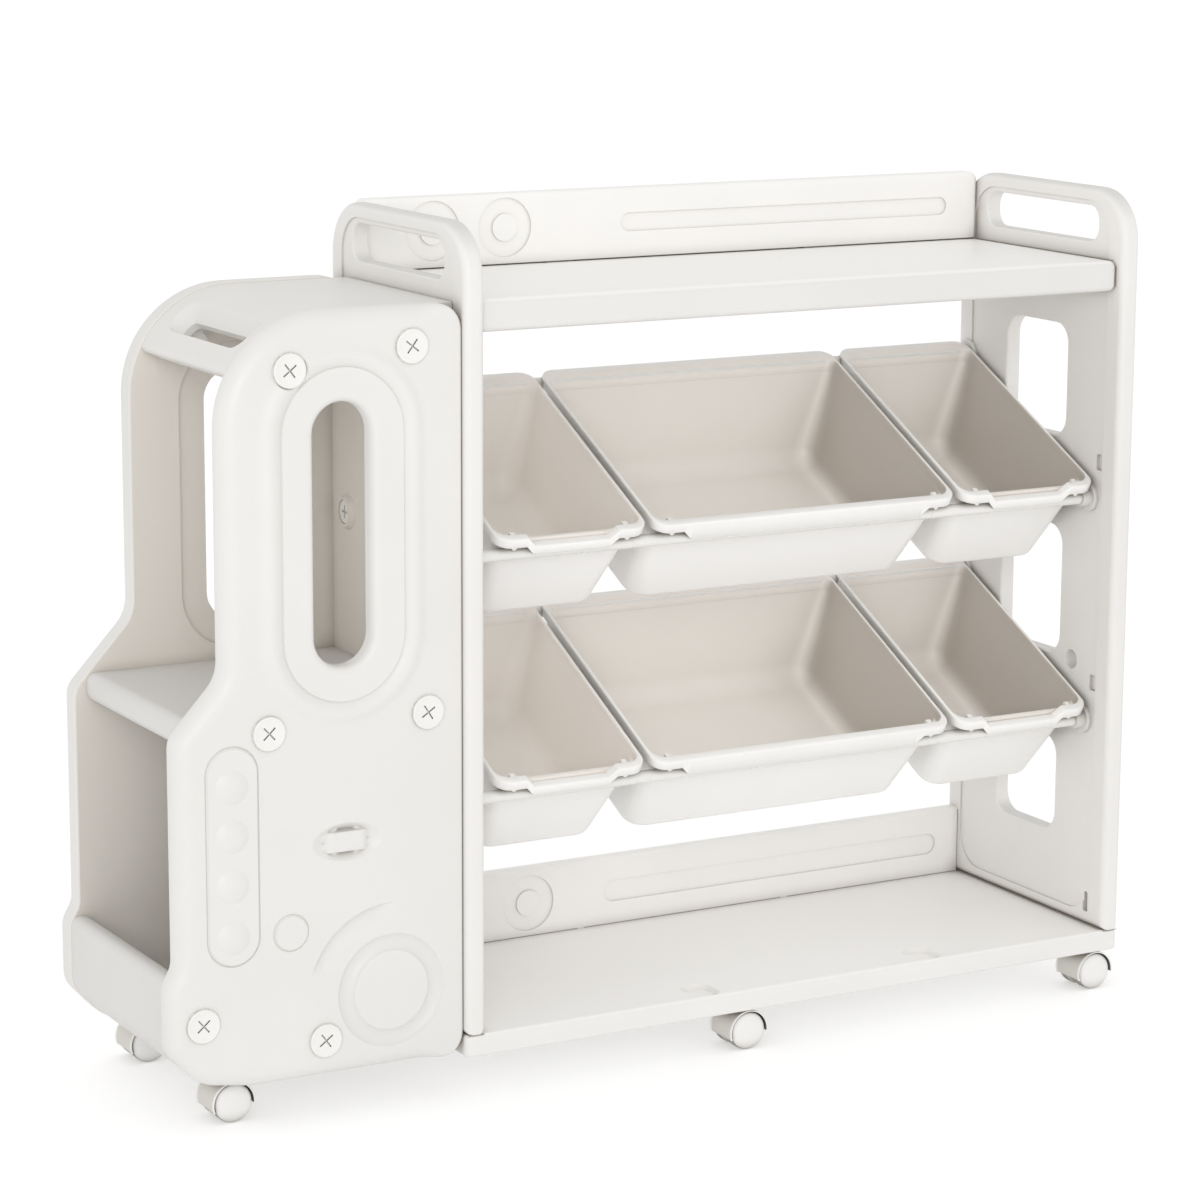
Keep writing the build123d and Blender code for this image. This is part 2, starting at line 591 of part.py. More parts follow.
for row, drop in rows():
    for side, x0, x1, small in BIN_X:
        rim_plane = Plane(origin=((x0 + x1) / 2, RIM_Y, RIM_Z - drop), x_dir=(1, 0, 0), z_dir=RISE)
        across = Plane(origin=rim_plane.origin, x_dir=(1, 0, 0), z_dir=(0, -SLOPE[1], -SLOPE[2]))
        w = x1 - x0
        over = 1.2
        draft_x, draft_f, draft_b = 14.0, 17.7, 22.0

        # the hollow, made first so that its corners can be rounded
        with BuildPart() as hollow:
            with BuildSketch(rim_plane.offset(-(LEDGE - WALL))):
                rounded_box(-w / 2 + over + WALL + 0.5, w / 2 - over - WALL - 0.5, BODY_Y0 + WALL, BODY_Y1 - WALL - 0.5, 12)
            with BuildSketch(rim_plane.offset(-(BIN_DEPTH - WALL))):
                rounded_box(-w / 2 + over + WALL + draft_x, w / 2 - over - WALL - draft_x,
                            BODY_Y0 + WALL + draft_f, BODY_Y1 - WALL - draft_b, 10)
            loft()
            floor_edges = hollow.edges().filter_by(
                lambda e: abs(rim_plane.to_local_coords(e.center()).Z + BIN_DEPTH - WALL) < 0.05)
            fillet(floor_edges, 7)
            with BuildSketch(rim_plane.offset(-(LEDGE - WALL))):
                rounded_box(-w / 2 + over + WALL, w / 2 - over - WALL, COLLAR_Y0 + WALL, BODY_Y1 - WALL, 12)
            extrude(amount=LEDGE)

        with BuildPart() as tote:
            # tapered body
            with BuildSketch(rim_plane.offset(-LEDGE)):
                rounded_box(-w / 2 + over + 0.5, w / 2 - over - 0.5, BODY_Y0, BODY_Y1 - 0.5, 14)
            with BuildSketch(rim_plane.offset(-BIN_DEPTH)):
                rounded_box(-w / 2 + over + draft_x, w / 2 - over - draft_x, BODY_Y0 + draft_f, BODY_Y1 - draft_b, 12)
            loft()
            foot_edges = tote.edges().filter_by(
                lambda e: abs(rim_plane.to_local_coords(e.center()).Z + BIN_DEPTH) < 0.05)
            fillet(foot_edges, 9)
            # collar above the ledge
            with BuildSketch(rim_plane.offset(-LEDGE)):
                rounded_box(-w / 2 + over, w / 2 - over, COLLAR_Y0, BODY_Y1, 14)
            extrude(amount=LEDGE)
            # rim with a turned-down lip
            with BuildSketch(rim_plane.offset(-FLANGE_T)):
                rounded_box(-w / 2, w / 2, 0, RIM_L, 16)
            extrude(amount=FLANGE_T)
            with BuildSketch(rim_plane.offset(-LIP)):
                rounded_box(-w / 2, w / 2, 0, RIM_L, 16)
                with Locations((0, RIM_L / 2)):
                    RectangleRounded(w - 2 * WALL, RIM_L - 2 * WALL, 13.5, mode=Mode.SUBTRACT)
            extrude(amount=LIP)
            # deeper skirt between the two end notches
            with BuildSketch(across):
                with BuildLine():
                    Polyline((-w / 2 + 30, -LIP + 1), (w / 2 - 30, -LIP + 1), (w / 2 - 31, -LIP), (w / 2 - 40, -SKIRT),
                             (-w / 2 + 40, -SKIRT), (-w / 2 + 31, -LIP), close=True)
                make_face()
            extrude(amount=-WALL)
            # the side lips are open where the back rod passes
            with BuildSketch(rim_plane.offset(-LIP - 1)):
                with Locations((-w / 2 + 7.5, 253.8), (w / 2 - 7.5, 253.8)):
                    Rectangle(17, 13.0)
            extrude(amount=LIP + 1 - FLANGE_T, mode=Mode.SUBTRACT)
            # ribs that rest on the front rod
            with BuildSketch(rim_plane.offset(-15.3)):
                with Locations((-w / 2 + 20, (WALL + BODY_Y0 + 0.5) / 2), (w / 2 - 20, (WALL + BODY_Y0 + 0.5) / 2)):
                    Rectangle(4.5, BODY_Y0 + 0.5 - WALL)
            extrude(amount=15.3 - FLANGE_T)
            add(hollow.part, mode=Mode.SUBTRACT)
            if small:
                # the front edge of a small bin dips in the middle
                with BuildSketch(across.offset(2)):
                    with BuildLine():
                        Polyline((-w / 2 + 31, 1), (w / 2 - 31, 1), (w / 2 - 31, 0), (w / 2 - 40, -9.25),
                                 (-w / 2 + 40, -9.25), (-w / 2 + 31, 0), close=True)
                    make_face()
                extrude(amount=-(COLLAR_Y0 + WALL + 2), mode=Mode.SUBTRACT)
                with BuildSketch(across):
                    with BuildLine():
                        Polyline((-w / 2 + 29, 0), (-w / 2 + 31, 0), (-w / 2 + 40, -9.25), (w / 2 - 40, -9.25),
                                 (w / 2 - 31, 0), (w / 2 - 29, 0), (w / 2 - 29, -FLANGE_T), (w / 2 - 32.3, -FLANGE_T),
                                 (w / 2 - 41.3, -9.25 - FLANGE_T), (-w / 2 + 41.3, -9.25 - FLANGE_T),
                                 (-w / 2 + 32.3, -FLANGE_T), (-w / 2 + 29, -FLANGE_T), close=True)
                    make_face()
                extrude(amount=-(COLLAR_Y0 + WALL))
        save(tote.part, f"bin_{row}_{side}")

# ---------------------------------------------------------------- casters
for name, sx, sy, mount_z in CASTERS:
    side_on = Plane(origin=(sx, sy, 0), x_dir=(1, 0, 0), z_dir=(0, -1, 0))
    with BuildPart() as stem:
        with BuildSketch(Plane.XY.offset(24.0)):
            with Locations((sx, sy)):
                Circle(3.0)
        extrude(amount=mount_z - 24.0)
        with BuildSketch(Plane.XY.offset(mount_z)):
            with Locations((sx, sy)):
                Circle(4.0)
        extrude(amount=13)
        with BuildSketch(Plane.XY.offset(39.5)):
            with Locations((sx, sy)):
                Circle(7.0)
        extrude(amount=mount_z - 39.5)
    save(stem.part, f"caster_{name}_stem")

    with BuildPart() as hood:
        with BuildSketch(side_on.offset(-19.2)):
            with Locations((TRAIL, WHEEL_R)):
                Circle(HOOD_R)
                Circle(HOOD_R - 1.3, mode=Mode.SUBTRACT)
            with Locations((TRAIL - 15, -3.5)):
                Rectangle(30, 30, mode=Mode.SUBTRACT)
            with Locations((TRAIL + 15, 1.5)):
                Rectangle(30, 30, mode=Mode.SUBTRACT)
        extrude(amount=38.4)
        with BuildSketch(side_on.offset(-4.4)):
            with Locations((TRAIL, WHEEL_R)):
                Circle(HOOD_R - 0.5)
            with Locations((TRAIL, -3.5)):
                Rectangle(60, 30, mode=Mode.SUBTRACT)
        extrude(amount=8.8)
        with BuildSketch(Plane.XY.offset(37.0)):
            with Locations((sx, sy)):
                Circle(7.0)
        extrude(amount=2.35)
        with BuildSketch(Plane.XY.offset(23.8)):
            with Locations((sx, sy)):
                Circle(3.05)
        extrude(amount=30, mode=Mode.SUBTRACT)
        with BuildSketch(side_on.offset(-20)):
            with Locations((TRAIL, WHEEL_R)):
                Circle(2.05)
        extrude(amount=40, mode=Mode.SUBTRACT)
    save(hood.part, f"caster_{name}_hood")

    with BuildPart() as wheels:
        for y_in in (5.0, -18.9):
            with BuildSketch(side_on.offset(y_in)):
                with Locations((TRAIL, WHEEL_R)):
                    Circle(WHEEL_R)
            extrude(amount=13.9)
        fillet(wheels.edges().filter_by(GeomType.CIRCLE), 2.0)
        with BuildSketch(side_on.offset(-17.0)):
            with Locations((TRAIL, WHEEL_R)):
                Circle(2.0)
        extrude(amount=34, mode=Mode.SUBTRACT)
    save(wheels.part, f"caster_{name}_wheels")

    with BuildPart() as axle:
        with BuildSketch(side_on.offset(-17.0)):
            with Locations((TRAIL, WHEEL_R)):
                Circle(2.0)
        extrude(amount=34)
    save(axle.part, f"caster_{name}_axle")
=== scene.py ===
import bpy
import bmesh
import math
from mathutils import Matrix, Vector
from mathutils.geometry import delaunay_2d_cdt


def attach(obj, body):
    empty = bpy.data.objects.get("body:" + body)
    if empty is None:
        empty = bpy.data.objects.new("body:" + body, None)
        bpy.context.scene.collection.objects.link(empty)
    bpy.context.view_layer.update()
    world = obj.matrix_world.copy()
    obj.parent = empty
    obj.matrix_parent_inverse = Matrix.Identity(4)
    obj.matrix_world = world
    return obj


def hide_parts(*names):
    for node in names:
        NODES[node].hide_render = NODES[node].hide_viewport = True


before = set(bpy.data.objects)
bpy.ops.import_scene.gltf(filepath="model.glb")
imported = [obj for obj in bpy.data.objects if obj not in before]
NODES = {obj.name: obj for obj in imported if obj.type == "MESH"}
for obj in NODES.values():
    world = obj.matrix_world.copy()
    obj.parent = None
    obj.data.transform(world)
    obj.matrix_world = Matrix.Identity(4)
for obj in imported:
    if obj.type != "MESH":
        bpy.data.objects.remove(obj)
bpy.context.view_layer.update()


# ---------------------------------------------------------------- materials
def plastic(name, colour, rough=0.42, coat=0.0, shift=0.03, grain=0.05, grain_scale=900.0, sss=0.0, wave=0.02,
            painted_crevice_shade=0.45, reach=0.02, painted_facing_tone=None):
    """Moulded plastic: slow colour drift, uneven gloss, fine mould grain and a very slight waviness, with painted
    shade darkening the colour in crevices and an optional painted tone on the faces that point one way.
    """
    m = bpy.data.materials.new(name)
    m.use_nodes = True
    nt = m.node_tree
    nt.nodes.clear()
    N, L = nt.nodes.new, nt.links.new
    out = N("ShaderNodeOutputMaterial")
    bsdf = N("ShaderNodeBsdfPrincipled")
    L(bsdf.outputs["BSDF"], out.inputs["Surface"])
    pos = N("ShaderNodeTexCoord")

    drift = N("ShaderNodeTexNoise")
    drift.inputs["Scale"].default_value = 5.0
    drift.inputs["Detail"].default_value = 3.0
    drift.inputs["Roughness"].default_value = 0.55
    L(pos.outputs["Object"], drift.inputs["Vector"])
    ramp = N("ShaderNodeValToRGB")
    ramp.color_ramp.elements[0].position = 0.3
    ramp.color_ramp.elements[1].position = 0.7
    ramp.color_ramp.elements[0].color = tuple(c * (1 - shift) for c in colour) + (1,)
    ramp.color_ramp.elements[1].color = tuple(min(1, c * (1 + shift * 0.5)) for c in colour) + (1,)
    L(drift.outputs["Fac"], ramp.inputs["Fac"])
    tone = ramp.outputs["Color"]
    if painted_facing_tone:
        # painted light and shade: a second tone on the surfaces that face one way, lighter or darker as the light
        # falls on them
        axis, painted_tone = painted_facing_tone
        geo = N("ShaderNodeNewGeometry")
        dot = N("ShaderNodeVectorMath")
        dot.operation = "DOT_PRODUCT"
        dot.inputs[1].default_value = axis
        L(geo.outputs["Normal"], dot.inputs[0])
        turn = N("ShaderNodeMapRange")
        turn.inputs["From Min"].default_value = 0.45
        turn.inputs["From Max"].default_value = 0.9
        L(dot.outputs["Value"], turn.inputs["Value"])
        two = N("ShaderNodeMix")
        two.data_type = "RGBA"
        two.inputs["B"].default_value = tuple(painted_tone) + (1,)
        L(turn.outputs["Result"], two.inputs["Factor"])
        L(tone, two.inputs["A"])
        tone = two.outputs["Result"]
    # painted shade: ambient occlusion darkens the colour, with a warm tint, in crevices and corners
    if painted_crevice_shade:
        ao = N("ShaderNodeAmbientOcclusion")
        ao.samples = 6
        ao.inputs["Distance"].default_value = reach
        curve = N("ShaderNodeMapRange")
        curve.inputs["From Min"].default_value = 0.15
        curve.inputs["From Max"].default_value = 0.75
        L(ao.outputs["AO"], curve.inputs["Value"])
        tint = N("ShaderNodeMix")
        tint.data_type = "RGBA"
        tint.blend_type = "MULTIPLY"
        tint.inputs["Factor"].default_value = 1.0
        shade = N("ShaderNodeMix")
        shade.data_type = "RGBA"
        shade.inputs["A"].default_value = (1 - painted_crevice_shade, 1 - painted_crevice_shade * 1.06, 1 - painted_crevice_shade * 1.14, 1)
        shade.inputs["B"].default_value = (1, 1, 1, 1)
        L(curve.outputs["Result"], shade.inputs["Factor"])
        L(tone, tint.inputs["A"])
        L(shade.outputs["Result"], tint.inputs["B"])
        L(tint.outputs["Result"], bsdf.inputs["Base Color"])
    else:
        L(tone, bsdf.inputs["Base Color"])

    scuff = N("ShaderNodeTexNoise")
    scuff.inputs["Scale"].default_value = 38.0
    scuff.inputs["Detail"].default_value = 5.0
    scuff.inputs["Roughness"].default_value = 0.7
    L(pos.outputs["Object"], scuff.inputs["Vector"])
    span = N("ShaderNodeMapRange")
    span.inputs["From Min"].default_value = 0.25
    span.inputs["From Max"].default_value = 0.75
    span.inputs["To Min"].default_value = rough - 0.05
    span.inputs["To Max"].default_value = rough + 0.07
    L(scuff.outputs["Fac"], span.inputs["Value"])
    L(span.outputs["Result"], bsdf.inputs["Roughness"])

    fine = N("ShaderNodeTexNoise")
    fine.inputs["Scale"].default_value = grain_scale
    fine.inputs["Detail"].default_value = 2.0
    L(pos.outputs["Object"], fine.inputs["Vector"])
    slow = N("ShaderNodeTexNoise")
    slow.inputs["Scale"].default_value = 9.0
    slow.inputs["Detail"].default_value = 1.0
    L(pos.outputs["Object"], slow.inputs["Vector"])
    b1 = N("ShaderNodeBump")
    b1.inputs["Strength"].default_value = wave
    b1.inputs["Distance"].default_value = 0.02
    L(slow.outputs["Fac"], b1.inputs["Height"])
    b2 = N("ShaderNodeBump")
    b2.inputs["Strength"].default_value = grain
    b2.inputs["Distance"].default_value = 0.0004
    L(fine.outputs["Fac"], b2.inputs["Height"])
    L(b1.outputs["Normal"], b2.inputs["Normal"])
    L(b2.outputs["Normal"], bsdf.inputs["Normal"])
    bsdf.inputs["IOR"].default_value = 1.49
    bsdf.inputs["Coat Weight"].default_value = coat
    bsdf.inputs["Coat Roughness"].default_value = 0.25
    if sss:
        bsdf.inputs["Subsurface Weight"].default_value = sss
        bsdf.inputs["Subsurface Radius"].default_value = (0.006, 0.005, 0.004)
        bsdf.inputs["Subsurface Scale"].default_value = 1.0
    return m


def steel(name, colour, rough=0.35):
    m = plastic(name, colour, rough, grain=0.12, grain_scale=420.0)
    m.node_tree.nodes["Principled BSDF"].inputs["Metallic"].default_value = 1.0
    return m


BODY = plastic("body_offwhite", (0.80, 0.79, 0.77), 0.40)
# painted shade: the side panels' up-facing surfaces get a darker tone
PANEL = plastic("body_offwhite_panel_shaded_tops", (0.845, 0.83, 0.808), 0.40, painted_facing_tone=((0, 0, 1), (0.72, 0.708, 0.69)))
# painted light: the top shelf's up-facing surfaces get a lighter tone
SHELF = plastic("body_offwhite_shelf_lit_tops", (0.80, 0.79, 0.775), 0.40, painted_facing_tone=((0, 0, 1), (0.95, 0.94, 0.922)))
# painted light and shade: the deck's up-facing surfaces get a lighter tone, and its crevices a stronger painted shade
DECK = plastic("body_offwhite_deck_lit_tops", (0.85, 0.84, 0.822), 0.40, painted_crevice_shade=0.6, painted_facing_tone=((0, 0, 1), (0.975, 0.963, 0.945)))
# painted light: the back boards take a lighter copy of the body plastic
BOARD = plastic("body_offwhite_board_lit", (0.965, 0.953, 0.937), 0.40)
# painted shade: the back panel's faces toward -Y, into the cab, get a darker warm tone
BACK = plastic("body_offwhite_back_shaded_inside", (0.80, 0.79, 0.77), 0.40, painted_facing_tone=((0, -1, 0), (0.78, 0.742, 0.69)))
# painted shade: the shoulder shelf and floor tray take a darker copy of the body plastic
TRAY = plastic("body_offwhite_tray_shaded", (0.73, 0.72, 0.70), 0.40)
# painted shade: the cab's side wall takes a darker, warmer copy of the body plastic
INNER = plastic("body_offwhite_inside_shaded", (0.80, 0.755, 0.70), 0.42, painted_crevice_shade=0.2)
# painted shade: the bins' insides take a warmer cream copy of the bin plastic, with the walls facing -X darker, much
# darker in the middle and right bins than in the left ones
BIN_INSIDE_SHADE = plastic("bin_inside_painted_shade", (0.97, 0.932, 0.888), 0.38, painted_crevice_shade=0.32, reach=0.08, painted_facing_tone=((-1, 0, 0), (0.55, 0.512, 0.465)))
BIN_LEFT_INSIDE_SHADE = plastic("bin_cream_left", (0.97, 0.932, 0.888), 0.38, painted_crevice_shade=0.2, reach=0.05, painted_facing_tone=((-1, 0, 0), (0.94, 0.895, 0.84)))
BIN_OUT = plastic("bin_offwhite", (0.95, 0.94, 0.925), 0.38)
ROD = plastic("rod_white_enamel", (0.86, 0.85, 0.825), 0.28, coat=0.3, grain=0.02)
SOCKET = plastic("socket_pale_grey", (0.78, 0.765, 0.74), 0.40)
SCREW = plastic("screw_offwhite", (0.87, 0.858, 0.835), 0.36)
RECESS = plastic("recess_shadow", (0.15, 0.143, 0.135), 0.6)
JOINT_SHADOW = plastic("joint_shadow", (0.34, 0.32, 0.295), 0.7)
# painted shade: the wheels' tread in a darker grey, for the shade in the gap under the hood
TREAD_SHADE = plastic("wheel_tread_painted_shade", (0.42, 0.405, 0.385), 0.6)
# painted shade: a near-black caster inside, and a darker beige copy of the caster white for the hood's middle band,
# web and boss
HOOD_INSIDE_SHADE = plastic("caster_inside_painted_shade", (0.16, 0.155, 0.15), 0.6)
HOOD_SHADED_BODY = plastic("caster_beige_painted_shade", (0.70, 0.675, 0.635), 0.4)
HOOD = plastic("caster_white", (0.88, 0.87, 0.85), 0.33)
WHEEL = plastic("wheel_white", (0.88, 0.872, 0.86), 0.42)
ZINC = steel("zinc_plate", (0.62, 0.62, 0.63), 0.34)


def material_for(name):
    if name.startswith("bin_"):
        return BIN_INSIDE_SHADE
    if name.startswith("rod_") and name != "rod_end_sockets":
        return ROD
    if name == "rod_end_sockets":
        return SOCKET
    if name in ("shelf_screws", "base_screws") or name.endswith("_stem") or name.endswith("_axle"):
        return ZINC
    if name.endswith("_screws"):
        return SCREW
    if name.endswith("_hood"):
        return HOOD
    if name.endswith("_wheels"):
        return WHEEL
    if name == "cab_side_wall":
        return INNER
    if name == "cab_back_panel":
        return BACK
    if name in ("cab_shoulder_shelf", "cab_floor_tray"):
        return TRAY
    if name == "base_plate":
        return DECK
    if name == "top_shelf":
        return SHELF
    if name in ("upper_back_board", "lower_back_board"):
        return BOARD
    if name in ("side_panel_left", "side_panel_right"):
        return PANEL
    return BODY


for name, obj in NODES.items():
    obj.data.materials.clear()
    obj.data.materials.append(material_for(name))

# ---------------------------------------------------------------- mesh helpers (all in millimetres)
FRAME_BODY = "frame"


def piece(name, verts, faces, mats, body, indices=None, replaces=(), sharp=38):
    """A smooth-shaded mesh object from millimetre coordinates."""
    bm = bmesh.new()
    vs = [bm.verts.new((x / 1000, y / 1000, z / 1000)) for x, y, z in verts]
    for i, f in enumerate(faces):
        ring = []
        for k in f:
            if not ring or ring[-1] is not vs[k]:
                ring.append(vs[k])
        try:
            face = bm.faces.new(ring)
        except ValueError:
            continue
        face.smooth = True
        if indices:
            face.material_index = indices[i]
    bmesh.ops.recalc_face_normals(bm, faces=bm.faces)
    me = bpy.data.meshes.new(name)
    bm.to_mesh(me)
    bm.free()
    me.set_sharp_from_angle(angle=math.radians(sharp))
    for m in mats:
        me.materials.append(m)
    obj = bpy.data.objects.new(name, me)
    bpy.context.scene.collection.objects.link(obj)
    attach(obj, body)
    if replaces:
        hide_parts(*replaces)
    return obj


def bridge(a, b, n):
    """Quads between two closed loops of n vertices that start at a and b."""
    return [(a + i, a + (i + 1) % n, b + (i + 1) % n, b + i) for i in range(n)]


def smooth_step(a, b, v):
    t = max(0.0, min(1.0, (v - a) / (b - a)))
    return t * t * (3 - 2 * t)


# ---------------------------------------------------------------- bins
TILT = math.radians(26.1)
CT, ST = math.cos(TILT), math.sin(TILT)
RIM_L = 262.9
BIN_X = (("left", -175.5, -18.5, True), ("middle", -10.7, 323.0, False), ("right", 330.8, 487.8, True))


def bin_piece(row, drop, side, x0, x1, small):
    w2 = (x1 - x0) / 2
    xc = (x0 + x1) / 2
    stations = sorted({round(sg * v, 3) for sg in (-1, 1) for v in
                       (w2 - 28, w2 - 30, w2 - 31, w2 - 32.5, w2 - 35.5, w2 - 38.5, w2 - 40, w2 - 41.5, (w2 - 41.5) / 2)} | {0.0})
    n_arc = 12
    n_side = 10

    def ramp(x):
        t = (w2 - 31 - abs(x)) / 9.0
        if t <= 0 or t >= 1:
            return max(0.0, min(1.0, t))
        return t

    def loop(a, s0, s1, r, hs, hf=None, hb=None, skirt=0.0, dip=0.0, open_back=False):
        hf = hs if hf is None else hf
        hb = hs if hb is None else hb
        out = []
        reach = min(1.0, (a - r) / (w2 - 27.5))
        for x in stations:
            x = x * reach
            k = ramp(x / reach)
            h = hf - skirt * k - (dip * k if small else 0.0)
            out.append((x, s0, h))

        def corner(cx, cs, a0, h_from, h_to):
            for i in range(n_arc + 1):
                t = a0 + math.radians(90) * i / n_arc
                f = i / n_arc
                f = f * f * (3 - 2 * f)
                x, s_ = cx + r * math.cos(t), cs + r * math.sin(t)
                h = h_from * (1 - f) + h_to * f
                if open_back and s_ > RIM_L - 16.2 and s_ < 260.2:
                    h = -2.8
                out.append((x, s_, h))

        def straight(x, sa, sb, h_):
            near = 0.9 if sb > sa else -0.9
            ts = [sa + (sb - sa) * i / n_side for i in range(1, n_side)]
            if sb > sa:
                ts.append(sb - near)
            else:
                ts.insert(0, sa + near)
            for s_ in ts:
                out.append((x, s_, h_))

        corner(a - r, s0 + r, math.radians(-90), hf, hs)
        straight(a, s0 + r, s1 - r, hs)
        corner(a - r, s1 - r, 0.0, hs, hb)
        for x in reversed(stations):
            out.append((x * reach, s1, hb))
        corner(-a + r, s1 - r, math.radians(90), hb, hs)
        straight(-a, s1 - r, s0 + r, hs)
        corner(-a + r, s0 + r, math.radians(180), hs, hf)
        return out

    loops, kinds = [], []

    def add(l, kind):
        loops.append(l)
        kinds.append(kind)

    # inside, from the floor up
    R = 19.0
    top, deep = -12.5, -107.5
    for i in range(9):
        t = math.radians(90 * (8 - i) / 8)
        h = deep + R * (1 - math.sin(t))
        f = (top - h) / (top - deep)
        c = R * (1 - math.cos(t))
        add(loop(w2 - 4.1 - 14 * f - c, 18.7 + 17.7 * f + c, 244.1 - 22 * f - c, max(3.0, 12 + 10 * f - c), h), 1)
    for f in (0.6, 0.35, 0.12, 0.0):
        h = top + (deep - top) * f
        add(loop(w2 - 4.1 - 14 * f, 18.7 + 17.7 * f, 244.1 - 22 * f, 12 + 10 * f, h), 1)
    add(loop(w2 - 4.0, 18.0, 244.3, 12.2, -11.3, -11.0, -13.0), 1)
    add(loop(w2 - 3.9, 16.8, 244.4, 12.3, -10.4, -10.6, -12.4), 1)
    add(loop(w2 - 3.8, 11.0, 244.5, 12.3, -9.6, -10.5, -11.6), 1)
    add(loop(w2 - 3.75, 9.7, 244.6, 12.3, -8.0, -10.3, -10.2), 1)
    # rim: a thin flat edge, rolled softly into the back wall
    for ang, hs, k, s0, dip in ((25, -4.5, 3.7, 9.55, 5.0), (45, -2.4, 3.7, 9.5, 8.0), (62, -1.2, 3.6, 9.4, 9.0),
                                (76, -0.45, 3.25, 9.0, 9.25), (90, 0.0, 2.6, 8.2, 9.25)):
        t = math.radians(ang)
        add(loop(w2 - k, s0, 257.0 - 12.5 * math.cos(t), 12.4 + (3.7 - k), hs, max(hs, -1.6) if ang < 60 else hs,
                 -12 + 12 * math.sin(t), dip=dip), 1)
    add(loop(w2 - 1.5, 1.5, RIM_L - 1.5, 14.5, 0.0, dip=9.25), 0)
    add(loop(w2 - 0.7, 0.7, RIM_L - 0.7, 15.3, -0.22, dip=9.25), 0)
    add(loop(w2 - 0.15, 0.15, RIM_L - 0.15, 15.85, -0.8, dip=9.25), 0)
    add(loop(w2, 0, RIM_L, 16, -1.6, dip=9.25), 0)
    add(loop(w2, 0, RIM_L, 16, -2.6, dip=9.25), 0)
    add(loop(w2, 0, RIM_L, 16, -9.0, skirt=9.1, open_back=True), 0)
    add(loop(w2 - 0.5, 0.5, RIM_L - 0.5, 15.5, -9.5, skirt=9.1, open_back=True), 0)
    add(loop(w2 - 1.2, 2.5, RIM_L - 2.5, 14.5, -9.5, skirt=9.1, open_back=True), 0)
    add(loop(w2 - 1.25, 2.6, RIM_L - 2.6, 14.4, -9.55, -2.8, -2.8, dip=9.25), 0)
    add(loop(w2 - 1.3, 7.0, 247.0, 14.2, -9.7, -2.8, -2.8, dip=9.25), 0)
    add(loop(w2 - 1.3, 7.0, 247.0, 14.2, -12.4), 0)
    add(loop(w2 - 1.5, 8.0, 246.8, 14.1, -13.0), 0)
    add(loop(w2 - 1.6, 15.2, 246.6, 14.0, -13.05), 0)
    # tapered body
    for f in (0.02, 0.3, 0.6):
        h = -13 - 97 * f
        add(loop(w2 - 1.7 - 13.5 * f, 16 + 17.7 * f, 246.5 - 21.5 * f, 14 + 6 * f, h), 0)
    R = 7.0
    for i in range(6):
        t = math.radians(90 * i / 5)
        h = -110 + R * (1 - math.sin(t))
        f = (-13 - h) / 97
        c = R * (1 - math.cos(t))
        add(loop(w2 - 1.7 - 13.5 * f - c, 16 + 17.7 * f + c, 246.5 - 21.5 * f - c, 20 - c, h), 0)

    n = len(loops[0])
    verts = []
    for l in loops:
        for x, s_, h in l:
            verts.append((xc + x, -112.3 + s_ * CT - h * ST, 510.6 - drop + s_ * ST + h * CT))
    faces, idx = [], []
    for k in range(len(loops) - 1):
        faces += bridge(k * n, (k + 1) * n, n)
        idx += [kinds[k + 1] if kinds[k] != kinds[k + 1] else kinds[k]] * n
    faces.append(tuple(range(n)))
    idx.append(1)
    last = (len(loops) - 1) * n
    faces.append(tuple(last + i for i in range(n)))
    idx.append(0)
    # round-ended ribs above the front rod
    for xr in (-w2 + 20, w2 - 20):
        prof = [(-2.6, -2.0), (-2.6, -11.6)]
        prof += [(-2.6 * math.cos(math.radians(a)), -11.6 - 2.6 * math.sin(math.radians(a))) for a in range(15, 180, 15)]
        prof += [(2.6, -11.6), (2.6, -2.0)]
        base = len(verts)
        m = len(prof)
        for s_ in (3.6, 15.5):
            for x, h in prof:
                verts.append((xc + xr + x, -112.3 + s_ * CT - h * ST, 510.6 - drop + s_ * ST + h * CT))
        faces += bridge(base, base + m, m)
        idx += [0] * m
        faces += [tuple(base + i for i in range(m)), tuple(base + m + i for i in range(m))]
        idx += [0, 0]
    node = "bin_%s_%s" % (row, side)
    # painted shade: the inner faces (index 1) take the warmer, shaded copy of the bin plastic
    return piece("tote_%s_%s" % (row, side), verts, faces, (BIN_OUT, BIN_LEFT_INSIDE_SHADE if side == "left" else BIN_INSIDE_SHADE), node, idx, (node,), 50)


for row, drop in (("upper", 0.0), ("lower", 224.7)):
    for side, x0, x1, small in BIN_X:
        bin_piece(row, drop, side, x0, x1, small)

# ---------------------------------------------------------------- cab front panel
F0, F1 = -132.5, -113.0               # outer and inner face
OUTLINE = [(-222.7, 42), (-222.7, 731.5), (-454.2, 731.5), (-454.2, 416.8), (-501.3, 365.9), (-501.3, 162.0),
           (-511.0, 145.0), (-511.0, 86.0), (-478.0, 50.0), (-428.0, 42)]
RADII = [23.6, 24.0, 99.5, 35.0, 23.0, 22.0, 24.0, 26.0, 45.0, 60.0]
SCREWS = ((-389.0, 681.6), (-271.8, 696.0), (-412.6, 364.4), (-257.8, 367.1), (-478.8, 108.5), (-361.0, 77.4))
WHEEL_C = (-296.0, 115.0)
LAMPS = [(-449.5, z) for z in (320.5, 276.5, 231.4, 184.9)]


